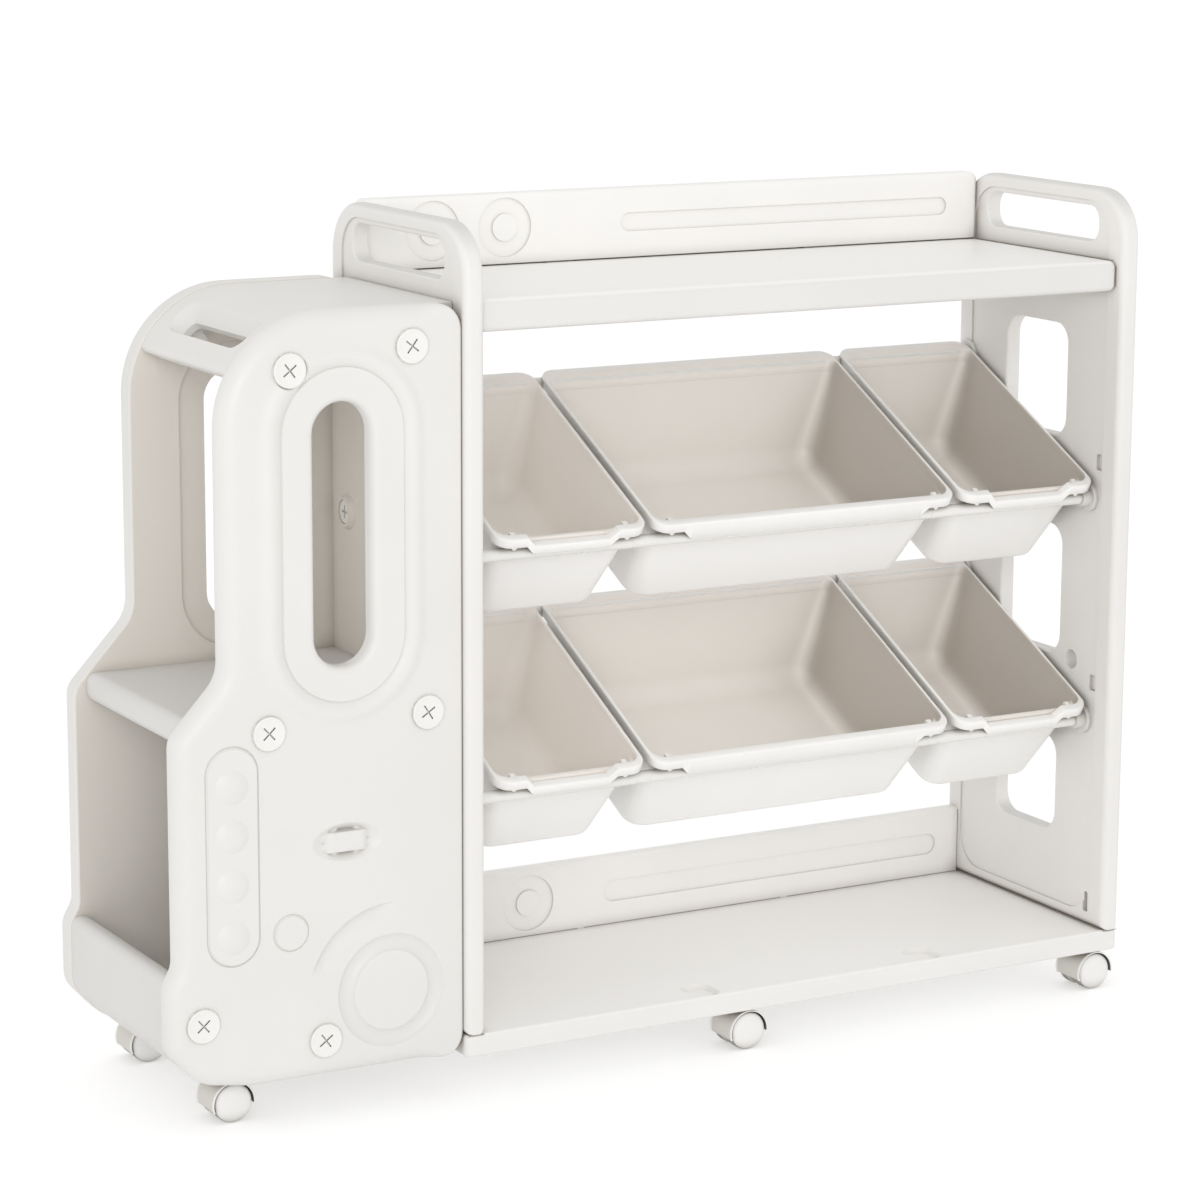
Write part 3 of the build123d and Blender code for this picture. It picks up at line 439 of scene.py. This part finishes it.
def rounded_outline(pts, radii, step=3.2):
    """Points and inward normals round a polygon (counter-clockwise or clockwise) with rounded corners."""
    n = len(pts)
    out = []
    area2 = sum(pts[i][0] * pts[(i + 1) % n][1] - pts[(i + 1) % n][0] * pts[i][1] for i in range(n))
    turn = 1 if area2 > 0 else -1
    arcs = []
    for i in range(n):
        p, q, r_ = (Vector(pts[i - 1]), Vector(pts[i]), Vector(pts[(i + 1) % n]))
        u, v = (p - q).normalized(), (r_ - q).normalized()
        ang = u.angle(v)
        t = radii[i] / math.tan(ang / 2)
        c = q + (u + v).normalized() * (radii[i] / math.sin(ang / 2))
        arcs.append((q + u * t, q + v * t, c, radii[i]))
    for i in range(n):
        a, b, c, r = arcs[i]
        cross = (a - c).x * (b - c).y - (a - c).y * (b - c).x
        ang = (a - c).angle(b - c)
        m = max(3, int(ang * r / step))
        sg = 1 if cross > 0 else -1
        start = math.atan2((a - c).y, (a - c).x)
        for k in range(m):
            t = start + sg * ang * k / m
            d = Vector((math.cos(t), math.sin(t)))
            inward = -d if sg == turn else d
            out.append((c + d * r, inward))
        nxt = arcs[(i + 1) % n][0]
        seg = nxt - b
        m = max(1, int(seg.length / 4.5))
        d = seg.normalized()
        inward = Vector((-d.y, d.x)) * turn
        for k in range(m):
            out.append((b + seg * k / m, inward))
    return out


def stadium_loop(cx, cz, half, rho, n=30, runs=22):
    out = []
    for k in range(n + 1):
        t = math.pi * k / n
        out.append((cx + rho * math.cos(t), cz + half + rho * math.sin(t)))
    for k in range(1, runs):
        out.append((cx - rho, cz + half - 2 * half * k / runs))
    for k in range(n + 1):
        t = math.pi + math.pi * k / n
        out.append((cx + rho * math.cos(t), cz - half + rho * math.sin(t)))
    for k in range(1, runs):
        out.append((cx + rho, cz - half + 2 * half * k / runs))
    return out


def circle_loop(cx, cz, r, n=40):
    return [(cx + r * math.cos(2 * math.pi * k / n), cz + r * math.sin(2 * math.pi * k / n)) for k in range(n)]


def stadium_distance(x, z, cx, cz, half):
    dz = max(0.0, abs(z - cz) - half)
    return math.hypot(x - cx, dz)


def window_rho(x, z):
    return stadium_distance(x, z, -338.9, 533.7, 89.7)


def window_height(rho):
    if rho < 34.85:
        return 0.8 - (7.0 - math.sqrt(max(0.0, 49.0 - (34.85 - rho) ** 2)))
    if rho < 58.2:
        return 0.8
    if rho < 59.3:
        return 0.8 - 1.5 * smooth_step(58.2, 59.3, rho)
    if rho < 60.0:
        return -0.7
    if rho < 69.5:
        return -0.7 + 4.0 * math.sin(math.radians(90) * (rho - 60.0) / 9.5)
    if rho < 81.0:
        return 3.3 * (0.5 + 0.5 * math.cos(math.pi * (rho - 69.5) / 11.5))
    return 0.0


def panel_height(x, z):
    h = window_height(window_rho(x, z))
    # lamp strip
    d = stadium_distance(x, z, -448.45, 257.5, 74.15)
    if d < 25.6:
        h += 1.9 * (1 - smooth_step(22.9, 24.3, d))
        h -= 0.7 * max(0.0, 1 - abs(d - 24.9) / 0.7)
    for cx, cz in LAMPS:
        r = math.hypot(x - cx, z - cz)
        if r < 15.5:
            rs = (15.5 ** 2 + 4.1 ** 2) / 8.2
            h += math.sqrt(rs * rs - r * r) - (rs - 4.1)
    # round cap
    r = math.hypot(x + 393.5, z - 181.6)
    if r < 18:
        h += 1.7 * (1 - smooth_step(15.0, 16.2, r)) - 0.6 * max(0.0, 1 - abs(r - 16.7) / 0.7)
    # door handle
    ex, ez = (x + 338.0) / 34.0, (z - 258.0) / 17.5
    e2 = ex * ex + ez * ez
    if e2 < 1:
        scoop = -11.0 * (1 - e2) ** 1.15
        ax = abs(x + 338.0)
        bar = -0.2 - 9.0 * smooth_step(15.0, 27.0, ax) + 9.0 * smooth_step(26.0, 34.0, ax)
        side = smooth_step(8.6, 10.6, abs(z - 258.0))
        h += max(scoop, bar * (1 - side) + scoop * side)
    # wheel groove and the crease of the fender
    r = math.hypot(x - WHEEL_C[0], z - WHEEL_C[1])
    if 36.4 < r < 52.5:
        rs = (8.05 ** 2 + 4.2 ** 2) / 8.4
        h -= math.sqrt(rs * rs - (r - 44.45) ** 2) - (rs - 4.2)
    if 62 < r < 83:
        a = math.degrees(math.atan2(z - WHEEL_C[1], x - WHEEL_C[0]))
        fade = smooth_step(84, 104, a) * (1 - smooth_step(152, 164, a))
        h -= 4.4 * fade * (1 - smooth_step(80.4, 81.6, r)) * smooth_step(63, 79, r)
    # a fine groove round each screw head
    for cx, cz in SCREWS:
        r = math.hypot(x - cx, z - cz)
        if r < 17.2:
            h = h * smooth_step(15.0, 17.2, r) - 0.45 * max(0.0, 1 - abs(r - 16.1) / 1.1) - (0.4 if r < 15 else 0.0)
    return h


rim = rounded_outline(OUTLINE, RADII)
n_rim = len(rim)


def pillow(p):
    """The roll of the panel's edge: full at the left, top and bottom, small at the rack's side."""
    x, z = p
    r = 17.0 - 2.4 * smooth_step(180.0, 150.0, z) * smooth_step(-455.0, -490.0, x)
    k = smooth_step(-268.0, -232.0, x)
    return r * (1 - k) + 3.0 * k


verts, faces = [], []
ROWS = 12
for k in range(ROWS + 1):
    phi = math.radians(90) * (1 - k / ROWS)
    for p, inward in rim:
        r = pillow(p)
        q = p + inward * (r * (1 - math.sin(phi)))
        verts.append((q.x, F0 + r * (1 - math.cos(phi)), q.y))
for k in range(ROWS):
    faces += bridge(k * n_rim, (k + 1) * n_rim, n_rim)
face_row = ROWS * n_rim
edge_in = [(verts[face_row + i][0], verts[face_row + i][2]) for i in range(n_rim)]

# loops that the face's mesh follows
loops = []
for rho in (27.85, 28.6, 29.9, 31.6, 33.4, 34.85, 37.0, 57.4, 58.2, 58.75, 59.3, 60.0, 61.5, 64.0, 67.0, 69.5, 72.0, 75.0, 78.0, 81.0):
    loops.append(stadium_loop(-338.9, 533.7, 89.7, rho))
for rho in (21.5, 22.9, 23.6, 24.3, 24.9, 25.6):
    loops.append(stadium_loop(-448.45, 257.5, 74.15, rho, 22, 30))
for c in LAMPS:
    for r in (4.0, 8.0, 11.5, 13.8, 15.0, 15.5, 16.2):
        loops.append(circle_loop(c[0], c[1], r, 36))
for r in (14.0, 15.0, 15.6, 16.2, 16.7, 17.4):
    loops.append(circle_loop(-393.5, 181.6, r))
for r in (34.5, 36.4, 36.9, 38.0, 40.0, 42.5, 45.0, 47.5, 50.0, 51.6, 52.1, 52.5, 54.5):
    loops.append(circle_loop(WHEEL_C[0], WHEEL_C[1], r, 96))
for c in SCREWS:
    for r in (15.0, 16.1, 17.2):
        loops.append(circle_loop(c[0], c[1], r, 48))
for e in (0.25, 0.45, 0.62, 0.76, 0.87, 0.94, 0.98, 1.0, 1.04):
    loops.append([(-338.0 + 34.0 * e * math.cos(2 * math.pi * k / 72), 258.0 + 17.5 * e * math.sin(2 * math.pi * k / 72))
                  for k in range(72)])

pts = [Vector(p) for p in edge_in]
edges = [(i, (i + 1) % n_rim) for i in range(n_rim)]
outer = [list(range(n_rim))]
for l in loops:
    base = len(pts)
    pts += [Vector(p) for p in l]
    edges += [(base + i, base + (i + 1) % len(l)) for i in range(len(l))]
for r in (62.5, 66.0, 70.0, 74.0, 77.5, 79.5, 80.6, 81.1, 81.6, 83.0):
    base = len(pts)
    arc = [Vector((WHEEL_C[0] + r * math.cos(math.radians(a)), WHEEL_C[1] + r * math.sin(math.radians(a))))
           for a in range(82, 166, 2)]
    pts += arc
    edges += [(base + i, base + i + 1) for i in range(len(arc) - 1)]
for z in (248.3, 249.0, 258.0, 267.0, 267.7):
    base = len(pts)
    run = [Vector((-338.0 + x, z)) for x in range(-32, 33, 2) if (x / 34.0) ** 2 + ((z - 258.0) / 17.5) ** 2 < 0.97]
    pts += run
    edges += [(base + i, base + i + 1) for i in range(len(run) - 1)]


def inside(x, z, ring):
    hit = False
    j = len(ring) - 1
    for i in range(len(ring)):
        xi, zi = ring[i]
        xj, zj = ring[j]
        if (zi > z) != (zj > z) and x < (xj - xi) * (z - zi) / (zj - zi) + xi:
            hit = not hit
        j = i
    return hit


def near_feature(x, z):
    if window_rho(x, z) < 83:
        return True
    if stadium_distance(x, z, -448.45, 257.5, 74.15) < 27:
        return True
    if math.hypot(x - WHEEL_C[0], z - WHEEL_C[1]) < 56 or math.hypot(x + 393.5, z - 181.6) < 19:
        return True
    if any(math.hypot(x - c[0], z - c[1]) < 19 for c in SCREWS):
        return True
    return abs(x + 338) < 38 and abs(z - 258) < 21


z = 60.0
while z < 716:
    x = -495.0
    while x < -226:
        if inside(x, z, edge_in) and not near_feature(x, z):
            d = min((x - p[0]) ** 2 + (z - p[1]) ** 2 for p in edge_in[::2])
            if d > 16:
                pts.append(Vector((x, z)))
        x += 7.0
    z += 7.0

cv, ce, cf, ov, oe, of_ = delaunay_2d_cdt(pts, edges, outer, 1, 0.001, True)
index = {}
for i, src in enumerate(ov):
    for k in src:
        if k < n_rim:
            index[i] = face_row + k
            break
hole = {}
for i, v in enumerate(cv):
    if i not in index:
        index[i] = len(verts)
        verts.append((v.x, F0 - panel_height(v.x, v.y), v.y))
for f in cf:
    c = sum((cv[i] for i in f), Vector((0, 0))) / len(f)
    if window_rho(c.x, c.y) < 27.8 or not inside(c.x, c.y, edge_in):
        continue
    faces.append(tuple(index[i] for i in f))

# window jamb, then the pocket behind it
first = None
for rho, y in ((27.85, F0 + 6.2), (27.85, F0 + 9.0), (27.85, F0 + 15.4), (28.4, F0 + 16.0), (40.5, F0 + 16.0), (40.85, F0 + 16.4),
               (40.85, F1 - 1.0), (41.8, F1)):
    l = stadium_loop(-338.9, 533.7, 89.7, rho)
    base = len(verts)
    if first is None:
        near = [(v.x, v.y, index[i]) for i, v in enumerate(cv) if abs(window_rho(v.x, v.y) - 27.85) < 0.05]
        ring = [min(near, key=lambda c: (c[0] - x_) ** 2 + (c[1] - z_) ** 2)[2] for x_, z_ in l]
        first = True
        prev = ring
        continue
    verts += [(x_, y, z_) for x_, z_ in l]
    now = list(range(base, base + len(l)))
    for i in range(len(l)):
        j = (i + 1) % len(l)
        if None not in (prev[i], prev[j]):
            faces.append((prev[i], prev[j], now[j], now[i]))
    prev = now
pocket_edge = prev

# side wall and inner face
base = len(verts)
for inset, y in ((0.0, F0 + 17.3), (0.0, F1 - 1.2), (0.4, F1 - 0.4), (1.2, F1)):
    for p, inward in rim:
        q = p + inward * inset
        verts.append((q.x, y, q.y))
faces += bridge(0, base, n_rim)
for k in range(3):
    faces += bridge(base + k * n_rim, base + (k + 1) * n_rim, n_rim)
back_row = base + 3 * n_rim
ring_pts = [Vector((verts[back_row + i][0], verts[back_row + i][2])) for i in range(n_rim)]
ring_xz = [(p.x, p.y) for p in ring_pts]
hole_pts = [Vector((verts[i][0], verts[i][2])) for i in pocket_edge]
hole_xz = [(p.x, p.y) for p in hole_pts]
m = len(hole_pts)
bv, be, bf, bov, boe, bof = delaunay_2d_cdt(
    ring_pts + hole_pts, [(i, (i + 1) % n_rim) for i in range(n_rim)] + [(n_rim + i, n_rim + (i + 1) % m) for i in range(m)],
    [list(range(n_rim))], 1, 0.001, True)
back = {}
for i, src in enumerate(bov):
    k = src[0]
    back[i] = back_row + k if k < n_rim else pocket_edge[k - n_rim]
for f in bf:
    c = sum((bv[i] for i in f), Vector((0, 0))) / len(f)
    a, b, c_ = (bv[i] for i in f[:3])
    if inside(c.x, c.y, hole_xz) or not inside(c.x, c.y, ring_xz) or abs((b - a).cross(c_ - a)) < 1e-4:
        continue
    faces.append(tuple(back[i] for i in f))
piece("front_panel_shell", verts, faces, (BODY,), FRAME_BODY, None, ("cab_front_panel",), 40)


# ---------------------------------------------------------------- the rest of the cab, up to its thin walls
def carry_on(name, y0, y1, label):
    """Carries a cab part's flat end on from y0 to y1, so that it meets the inner face of a thin panel."""
    src = NODES[name]
    co = [src.matrix_world @ v.co * 1000 for v in src.data.vertices]
    flat = [p.vertices[:] for p in src.data.polygons if all(abs(co[k].y - y0) < 0.02 for k in p.vertices)]
    look, verts, ends = {}, [], []
    for ring in flat:
        for k in ring:
            key = (round(co[k].x, 2), round(co[k].z, 2))
            if key not in look:
                look[key] = len(verts)
                verts.append((co[k].x, y0, co[k].z))
        ends.append(tuple(look[(round(co[k].x, 2), round(co[k].z, 2))] for k in ring))
    n = len(verts)
    verts += [(x_, y1, z_) for x_, y_, z_ in verts]
    ends = [f for f in ends if len(set(f)) == len(f)]
    used = {}
    for f in ends:
        for i in range(len(f)):
            e = (f[i], f[(i + 1) % len(f)])
            used[frozenset(e)] = None if frozenset(e) in used else e
    faces = [f for f in ends] + [tuple(n + k for k in reversed(f)) for f in ends]
    faces += [(e[1], e[0], n + e[0], n + e[1]) for e in used.values() if e]
    piece(label, verts, faces, (material_for(name),), FRAME_BODY, None, (), 30)


for name, label in (("cab_roof", "roof"), ("cab_shoulder_shelf", "shoulder"), ("cab_floor_tray", "tray"), ("cab_side_wall", "wall")):
    carry_on(name, -93.2, F1, label + "_front_end")
    carry_on(name, 96.3, 102.3, label + "_back_end")

# the back panel with a thinner wall, and a smaller field round its window
src = NODES["cab_back_panel"]
verts = []
for v in src.data.vertices:
    q = src.matrix_world @ v.co * 1000
    if q.y < 99.5:
        cz = min(max(q.z, 533.7 - 89.7), 533.7 + 89.7)
        rho = math.hypot(q.x + 338.9, q.z - cz)
        if 60 < rho < 69.6:
            f = (rho - 14.0) / rho
            q.x, q.z = -338.9 + (q.x + 338.9) * f, cz + (q.z - cz) * f
        q.y += 6.0
    verts.append(tuple(q))
look, merged, slots = {}, [], []
for q in verts:
    key = tuple(round(c, 2) for c in q)
    if key not in look:
        look[key] = len(merged)
        merged.append(q)
    slots.append(look[key])
faces = [tuple(slots[k] for k in p.vertices) for p in src.data.polygons]
faces = [f for f in faces if len(set(f)) == len(f)]
piece("back_panel_shell", merged, faces, (BACK,), FRAME_BODY, None, ("cab_back_panel",), 30)


# ---------------------------------------------------------------- screw heads
def screw_heads(name, y_face, d, body, angles):
    """Dished heads with a cross recess, standing a little proud of the panel."""
    verts, faces, idx = [], [], []
    for (cx, cz), turn in zip(SCREWS, angles):
        rings = [(15.2, 0.6), (15.4, -0.6), (15.4, -1.3), (15.1, -1.75), (14.5, -2.0), (13.6, -1.95), (12.3, -1.5), (10.5, -1.15)]
        n = 48
        for r, h in rings:
            base = len(verts)
            verts += [(cx + r * math.cos(2 * math.pi * k / n), y_face + d * h, cz + r * math.sin(2 * math.pi * k / n))
                      for k in range(n)]
            if r != 15.2:
                faces += bridge(base - n, base, n)
                idx += [0] * n
        base = len(verts) - n
        # the dish's middle, with the cross cut into it
        c, s_ = math.cos(turn), math.sin(turn)
        arm, half = 7.6, 0.7
        cross = [(half, half), (half, arm), (-half, arm), (-half, half), (-arm, half), (-arm, -half), (-half, -half),
                 (-half, -arm), (half, -arm), (half, -half), (arm, -half), (arm, half)]
        cross = [(cx + u * c - v * s_, cz + u * s_ + v * c) for u, v in cross]
        rim_ = [(verts[base + k][0], verts[base + k][2]) for k in range(n)]
        both = [Vector(p) for p in rim_ + cross]
        e = [(i, (i + 1) % n) for i in range(n)] + [(n + i, n + (i + 1) % 12) for i in range(12)]
        hv, he, hf, hov, hoe, hof = delaunay_2d_cdt(both, e, [list(range(n))], 1, 0.0005, True)
        top = len(verts)
        verts += [(x_, y_face + d * -1.0, z_) for x_, z_ in cross]
        low = len(verts)
        verts += [(x_, y_face + d * 0.8, z_) for x_, z_ in cross]
        look_up = {i: (base + src[0] if src[0] < n else top + src[0] - n) for i, src in enumerate(hov)}
        for f in hf:
            g = sum((hv[i] for i in f), Vector((0, 0))) / len(f)
            u = (g.x - cx) * c + (g.y - cz) * s_
            v = -(g.x - cx) * s_ + (g.y - cz) * c
            if (abs(u) < half and abs(v) < arm) or (abs(v) < half and abs(u) < arm):
                continue
            faces.append(tuple(look_up[i] for i in f))
            idx.append(0)
        faces += bridge(top, low, 12)
        idx += [1] * 12
        faces.append(tuple(low + i for i in range(12)))
        idx.append(1)
    return piece(name, verts, faces, (SCREW, RECESS), body, idx, (), 35)


screw_heads("front_screw_heads", F0, 1, FRAME_BODY, [math.radians(a) for a in (38, 52, 43, 33, 41, 36)])
screw_heads("back_screw_heads", 135.6, -1, FRAME_BODY, [math.radians(a) for a in (12, 47, 70, 28, 55, 81)])

# ---------------------------------------------------------------- casters
CASTERS = (("front_left", -444.0, -75.0), ("front_middle", 71.0, -115.4), ("front_right", 477.0, -115.4),
           ("back_left", -444.0, 118.4), ("back_middle", 71.0, 119.0), ("back_right", 477.0, 119.0))


def turned(profile, cx, cy, cz, n=48):
    """Closed profile of (r, y) turned about the Y axis through (cx, cy, cz)."""
    verts = []
    for r, y in profile:
        verts += [(cx + r * math.cos(2 * math.pi * k / n), cy + y, cz + r * math.sin(2 * math.pi * k / n)) for k in range(n)]
    faces = []
    for i in range(len(profile) - 1):
        faces += bridge(i * n, (i + 1) * n, n)
    faces.append(tuple(range(n)))
    faces.append(tuple((len(profile) - 1) * n + k for k in range(n)))
    return verts, faces


for name, sx, sy in CASTERS:
    cx, cz = sx + 10.0, 18.5
    # two wheels with plain domed faces
    half = [(3.0, -19.75), (8.0, -19.6), (12.0, -19.2), (15.0, -18.5), (16.8, -17.7), (17.8, -16.8), (18.3, -15.7), (18.5, -14.4),
            (18.5, -7.0), (18.2, -5.9), (17.3, -5.2), (15.5, -5.0), (4.0, -5.0)]
    verts, faces, idx = [], [], []
    for sg in (1, -1):
        v, f = turned([(r, y * sg) for r, y in half], cx, sy, cz)
        base = len(verts)
        verts += v
        faces += [tuple(base + k for k in q) for q in f]
        # the tread band takes the darker grey of painted shade
        idx += [0] * (48 * 5) + [1] * (48 * 4) + [0] * (48 * 3) + [0, 0]
    piece("wheels_" + name, verts, faces, (WHEEL, TREAD_SHADE), "caster_%s_roll" % name, idx,
          ("caster_%s_wheels" % name,), 40)
    # hood: a curved cover with a bright lip at each end; painted shade: a darker beige copy of the caster plastic on
    # its middle band, web and boss, and near-black on its inside face
    ring = [(19.35, -19.0), (19.5, -19.35), (20.3, -19.5), (20.75, -19.1), (20.8, -17.4), (20.35, -16.9), (20.25, 0.0), (20.35, 16.9),
            (20.8, 17.4), (20.75, 19.1), (20.3, 19.5), (19.5, 19.35), (19.35, 19.0), (19.3, 0.0)]
    kind = [0, 0, 0, 0, 0, 2, 2, 0, 0, 0, 0, 0, 1, 1]
    m = len(ring)
    steps = 56
    verts, faces, idx = [], [], []
    for k in range(steps + 1):
        t = math.radians(-5.5 + 205.2 * k / steps)
        verts += [(cx + r * math.cos(t), sy + y, cz + r * math.sin(t)) for r, y in ring]
    for k in range(steps):
        faces += bridge(k * m, (k + 1) * m, m)
        idx += kind
    faces += [tuple(range(m)), tuple(steps * m + i for i in range(m))]
    idx += [0, 0]
    # web between the wheels
    base = len(verts)
    arc = [(cx + 20.0 * math.cos(math.radians(a)), cz + 20.0 * math.sin(math.radians(a))) for a in range(-20, 201, 5)]
    for y in (-4.4, 4.4):
        verts += [(x, sy + y, z) for x, z in arc]
    w = len(arc)
    faces += bridge(base, base + w, w)
    idx += [2] * w
    faces += [tuple(base + i for i in range(w)), tuple(base + w + i for i in range(w))]
    idx += [2, 2]
    # boss under the stem
    base = len(verts)
    for r, z in ((7.0, 36.8), (7.0, 38.9), (6.6, 39.35), (3.1, 39.35)):
        verts += [(sx + r * math.cos(2 * math.pi * k / 32), sy + r * math.sin(2 * math.pi * k / 32), z) for k in range(32)]
    for i in range(3):
        faces += bridge(base + 32 * i, base + 32 * (i + 1), 32)
    idx += [2] * 96
    piece("hood_" + name, verts, faces, (HOOD, HOOD_INSIDE_SHADE, HOOD_SHADED_BODY), "caster_%s_swivel" % name, idx,
          ("caster_%s_hood" % name,), 32)


# ---------------------------------------------------------------- painted shadow in the fine joints between the mouldings
def joint_shadow_strips(name, runs, mat):
    """Thin dark strips of painted shadow in the gaps where two mouldings meet: (points, radius) runs in millimetres.
    """
    verts, faces = [], []
    for pts_, r in runs:
        p = [Vector(q) for q in pts_]
        base = len(verts)
        for i, q in enumerate(p):
            d = (p[min(i + 1, len(p) - 1)] - p[max(i - 1, 0)]).normalized()
            u = d.cross(Vector((0.31, 0.52, 0.79))).normalized()
            v = d.cross(u)
            for k in range(6):
                t = math.radians(60 * k)
                verts.append(tuple(q + u * (r * math.cos(t)) + v * (r * math.sin(t))))
        for i in range(len(p) - 1):
            faces += bridge(base + 6 * i, base + 6 * (i + 1), 6)
        faces += [tuple(base + k for k in range(6)), tuple(base + 6 * (len(p) - 1) + k for k in range(6))]
    return piece(name, verts, faces, (mat,), FRAME_BODY, None, (), 60)


joint_shadow_strips("joint_shadow_lines", [
    ([(-202.5, 118.3, 61.1), (33.0, 118.3, 61.1)], 0.55),
    ([(41.0, 118.3, 61.1), (272.0, 118.3, 61.1)], 0.55),
    ([(280.0, 118.3, 61.1), (490.8, 118.3, 61.1)], 0.55),
    ([(490.9, 118.3, 61.3), (490.9, 118.3, 128.0)], 0.45),
    ([(-202.6, 118.3, 61.3), (-202.6, 118.3, 128.0)], 0.45),
    ([(490.9, -131.0, 61.1), (490.9, 118.3, 61.1)], 0.35),
    ([(-202.6, -131.0, 61.1), (-202.6, 118.3, 61.1)], 0.5),
    ([(490.9, -122.0, 732.0), (490.9, 109.0, 732.0)], 0.4),
    ([(-202.6, -122.0, 732.0), (-202.6, 109.0, 732.0)], 0.4),
    ([(490.9, -127.5, 707.0), (490.9, -127.5, 727.0)], 0.45),
    ([(-202.6, -127.5, 707.0), (-202.6, -127.5, 727.0)], 0.45),
    ([(492.5, -138.15, 61.05), (509.0, -138.15, 61.05)], 0.4),
    ([(-221.0, -138.15, 61.05), (-204.5, -138.15, 61.05)], 0.4),
    ([(-222.7, -129.3, 66.0), (-222.7, -129.3, 712.0)], 0.8),
], JOINT_SHADOW)

# ---------------------------------------------------------------- floor, light and camera
bm = bmesh.new()
bmesh.ops.create_grid(bm, x_segments=8, y_segments=8, size=30)
me = bpy.data.meshes.new("floor")
bm.to_mesh(me)
bm.free()
floor = bpy.data.objects.new("floor", me)
bpy.context.scene.collection.objects.link(floor)
fm = bpy.data.materials.new("floor_white")
fm.use_nodes = True
fb = fm.node_tree.nodes["Principled BSDF"]
fb.inputs["Base Color"].default_value = (0.70, 0.70, 0.70, 1)
fb.inputs["Roughness"].default_value = 0.9
fb.inputs["Specular IOR Level"].default_value = 0.1
fb.inputs["Emission Color"].default_value = (1, 1, 1, 1)
glow = fm.node_tree.nodes.new("ShaderNodeMapRange")
glow.inputs["To Min"].default_value = 0.30
glow.inputs["To Max"].default_value = 0.43
fm.node_tree.links.new(fm.node_tree.nodes.new("ShaderNodeLightPath").outputs["Is Camera Ray"], glow.inputs["Value"])
fm.node_tree.links.new(glow.outputs["Result"], fb.inputs["Emission Strength"])
me.materials.append(fm)

world = bpy.data.worlds.new("studio")
bpy.context.scene.world = world
world.use_nodes = True
wt = world.node_tree
wt.nodes.clear()
wo = wt.nodes.new("ShaderNodeOutputWorld")
seen = wt.nodes.new("ShaderNodeBackground")
seen.inputs["Color"].default_value = (1, 1, 1, 1)
seen.inputs["Strength"].default_value = 1.12
fill = wt.nodes.new("ShaderNodeBackground")
fill.inputs["Color"].default_value = (1, 0.995, 0.985, 1)
fill.inputs["Strength"].default_value = 0.86
ray = wt.nodes.new("ShaderNodeLightPath")
mix = wt.nodes.new("ShaderNodeMixShader")
wt.links.new(ray.outputs["Is Camera Ray"], mix.inputs["Fac"])
wt.links.new(fill.outputs["Background"], mix.inputs[1])
wt.links.new(seen.outputs["Background"], mix.inputs[2])
wt.links.new(mix.outputs["Shader"], wo.inputs["Surface"])


def area(name, at, target, size, power, colour=(1, 1, 1)):
    d = bpy.data.lights.new(name, "AREA")
    d.shape = "RECTANGLE"
    d.size, d.size_y = size
    d.energy = power
    d.color = colour
    o = bpy.data.objects.new(name, d)
    bpy.context.scene.collection.objects.link(o)
    o.location = at
    o.rotation_mode = "QUATERNION"
    o.rotation_quaternion = (Vector(target) - Vector(at)).to_track_quat("-Z", "Y")
    return o


area("key", (-2.6, -4.6, 2.0), (0, 0, 0.4), (2.2, 2.0), 56, (1, 0.997, 0.99))

yaw, pitch, roll = map(math.radians, (29.2008, 11.4335, 0.2773))
look = Vector((math.sin(yaw) * math.cos(pitch), math.cos(yaw) * math.cos(pitch), -math.sin(pitch)))
right = Vector((math.cos(yaw), -math.sin(yaw), 0))
up = right.cross(look)
right, up = math.cos(roll) * right + math.sin(roll) * up, -math.sin(roll) * right + math.cos(roll) * up
cd = bpy.data.cameras.new("camera")
cd.sensor_width = 36
cd.lens = 112.74
cd.clip_start, cd.clip_end = 0.1, 60
cam = bpy.data.objects.new("camera", cd)
bpy.context.scene.collection.objects.link(cam)
cam.matrix_world = Matrix((
    (right.x, up.x, -look.x, -1.71526),
    (right.y, up.y, -look.y, -3.05314),
    (right.z, up.z, -look.z, 1.12906),
    (0, 0, 0, 1),
))
bpy.context.scene.camera = cam
bpy.context.scene.view_settings.view_transform = "Standard"
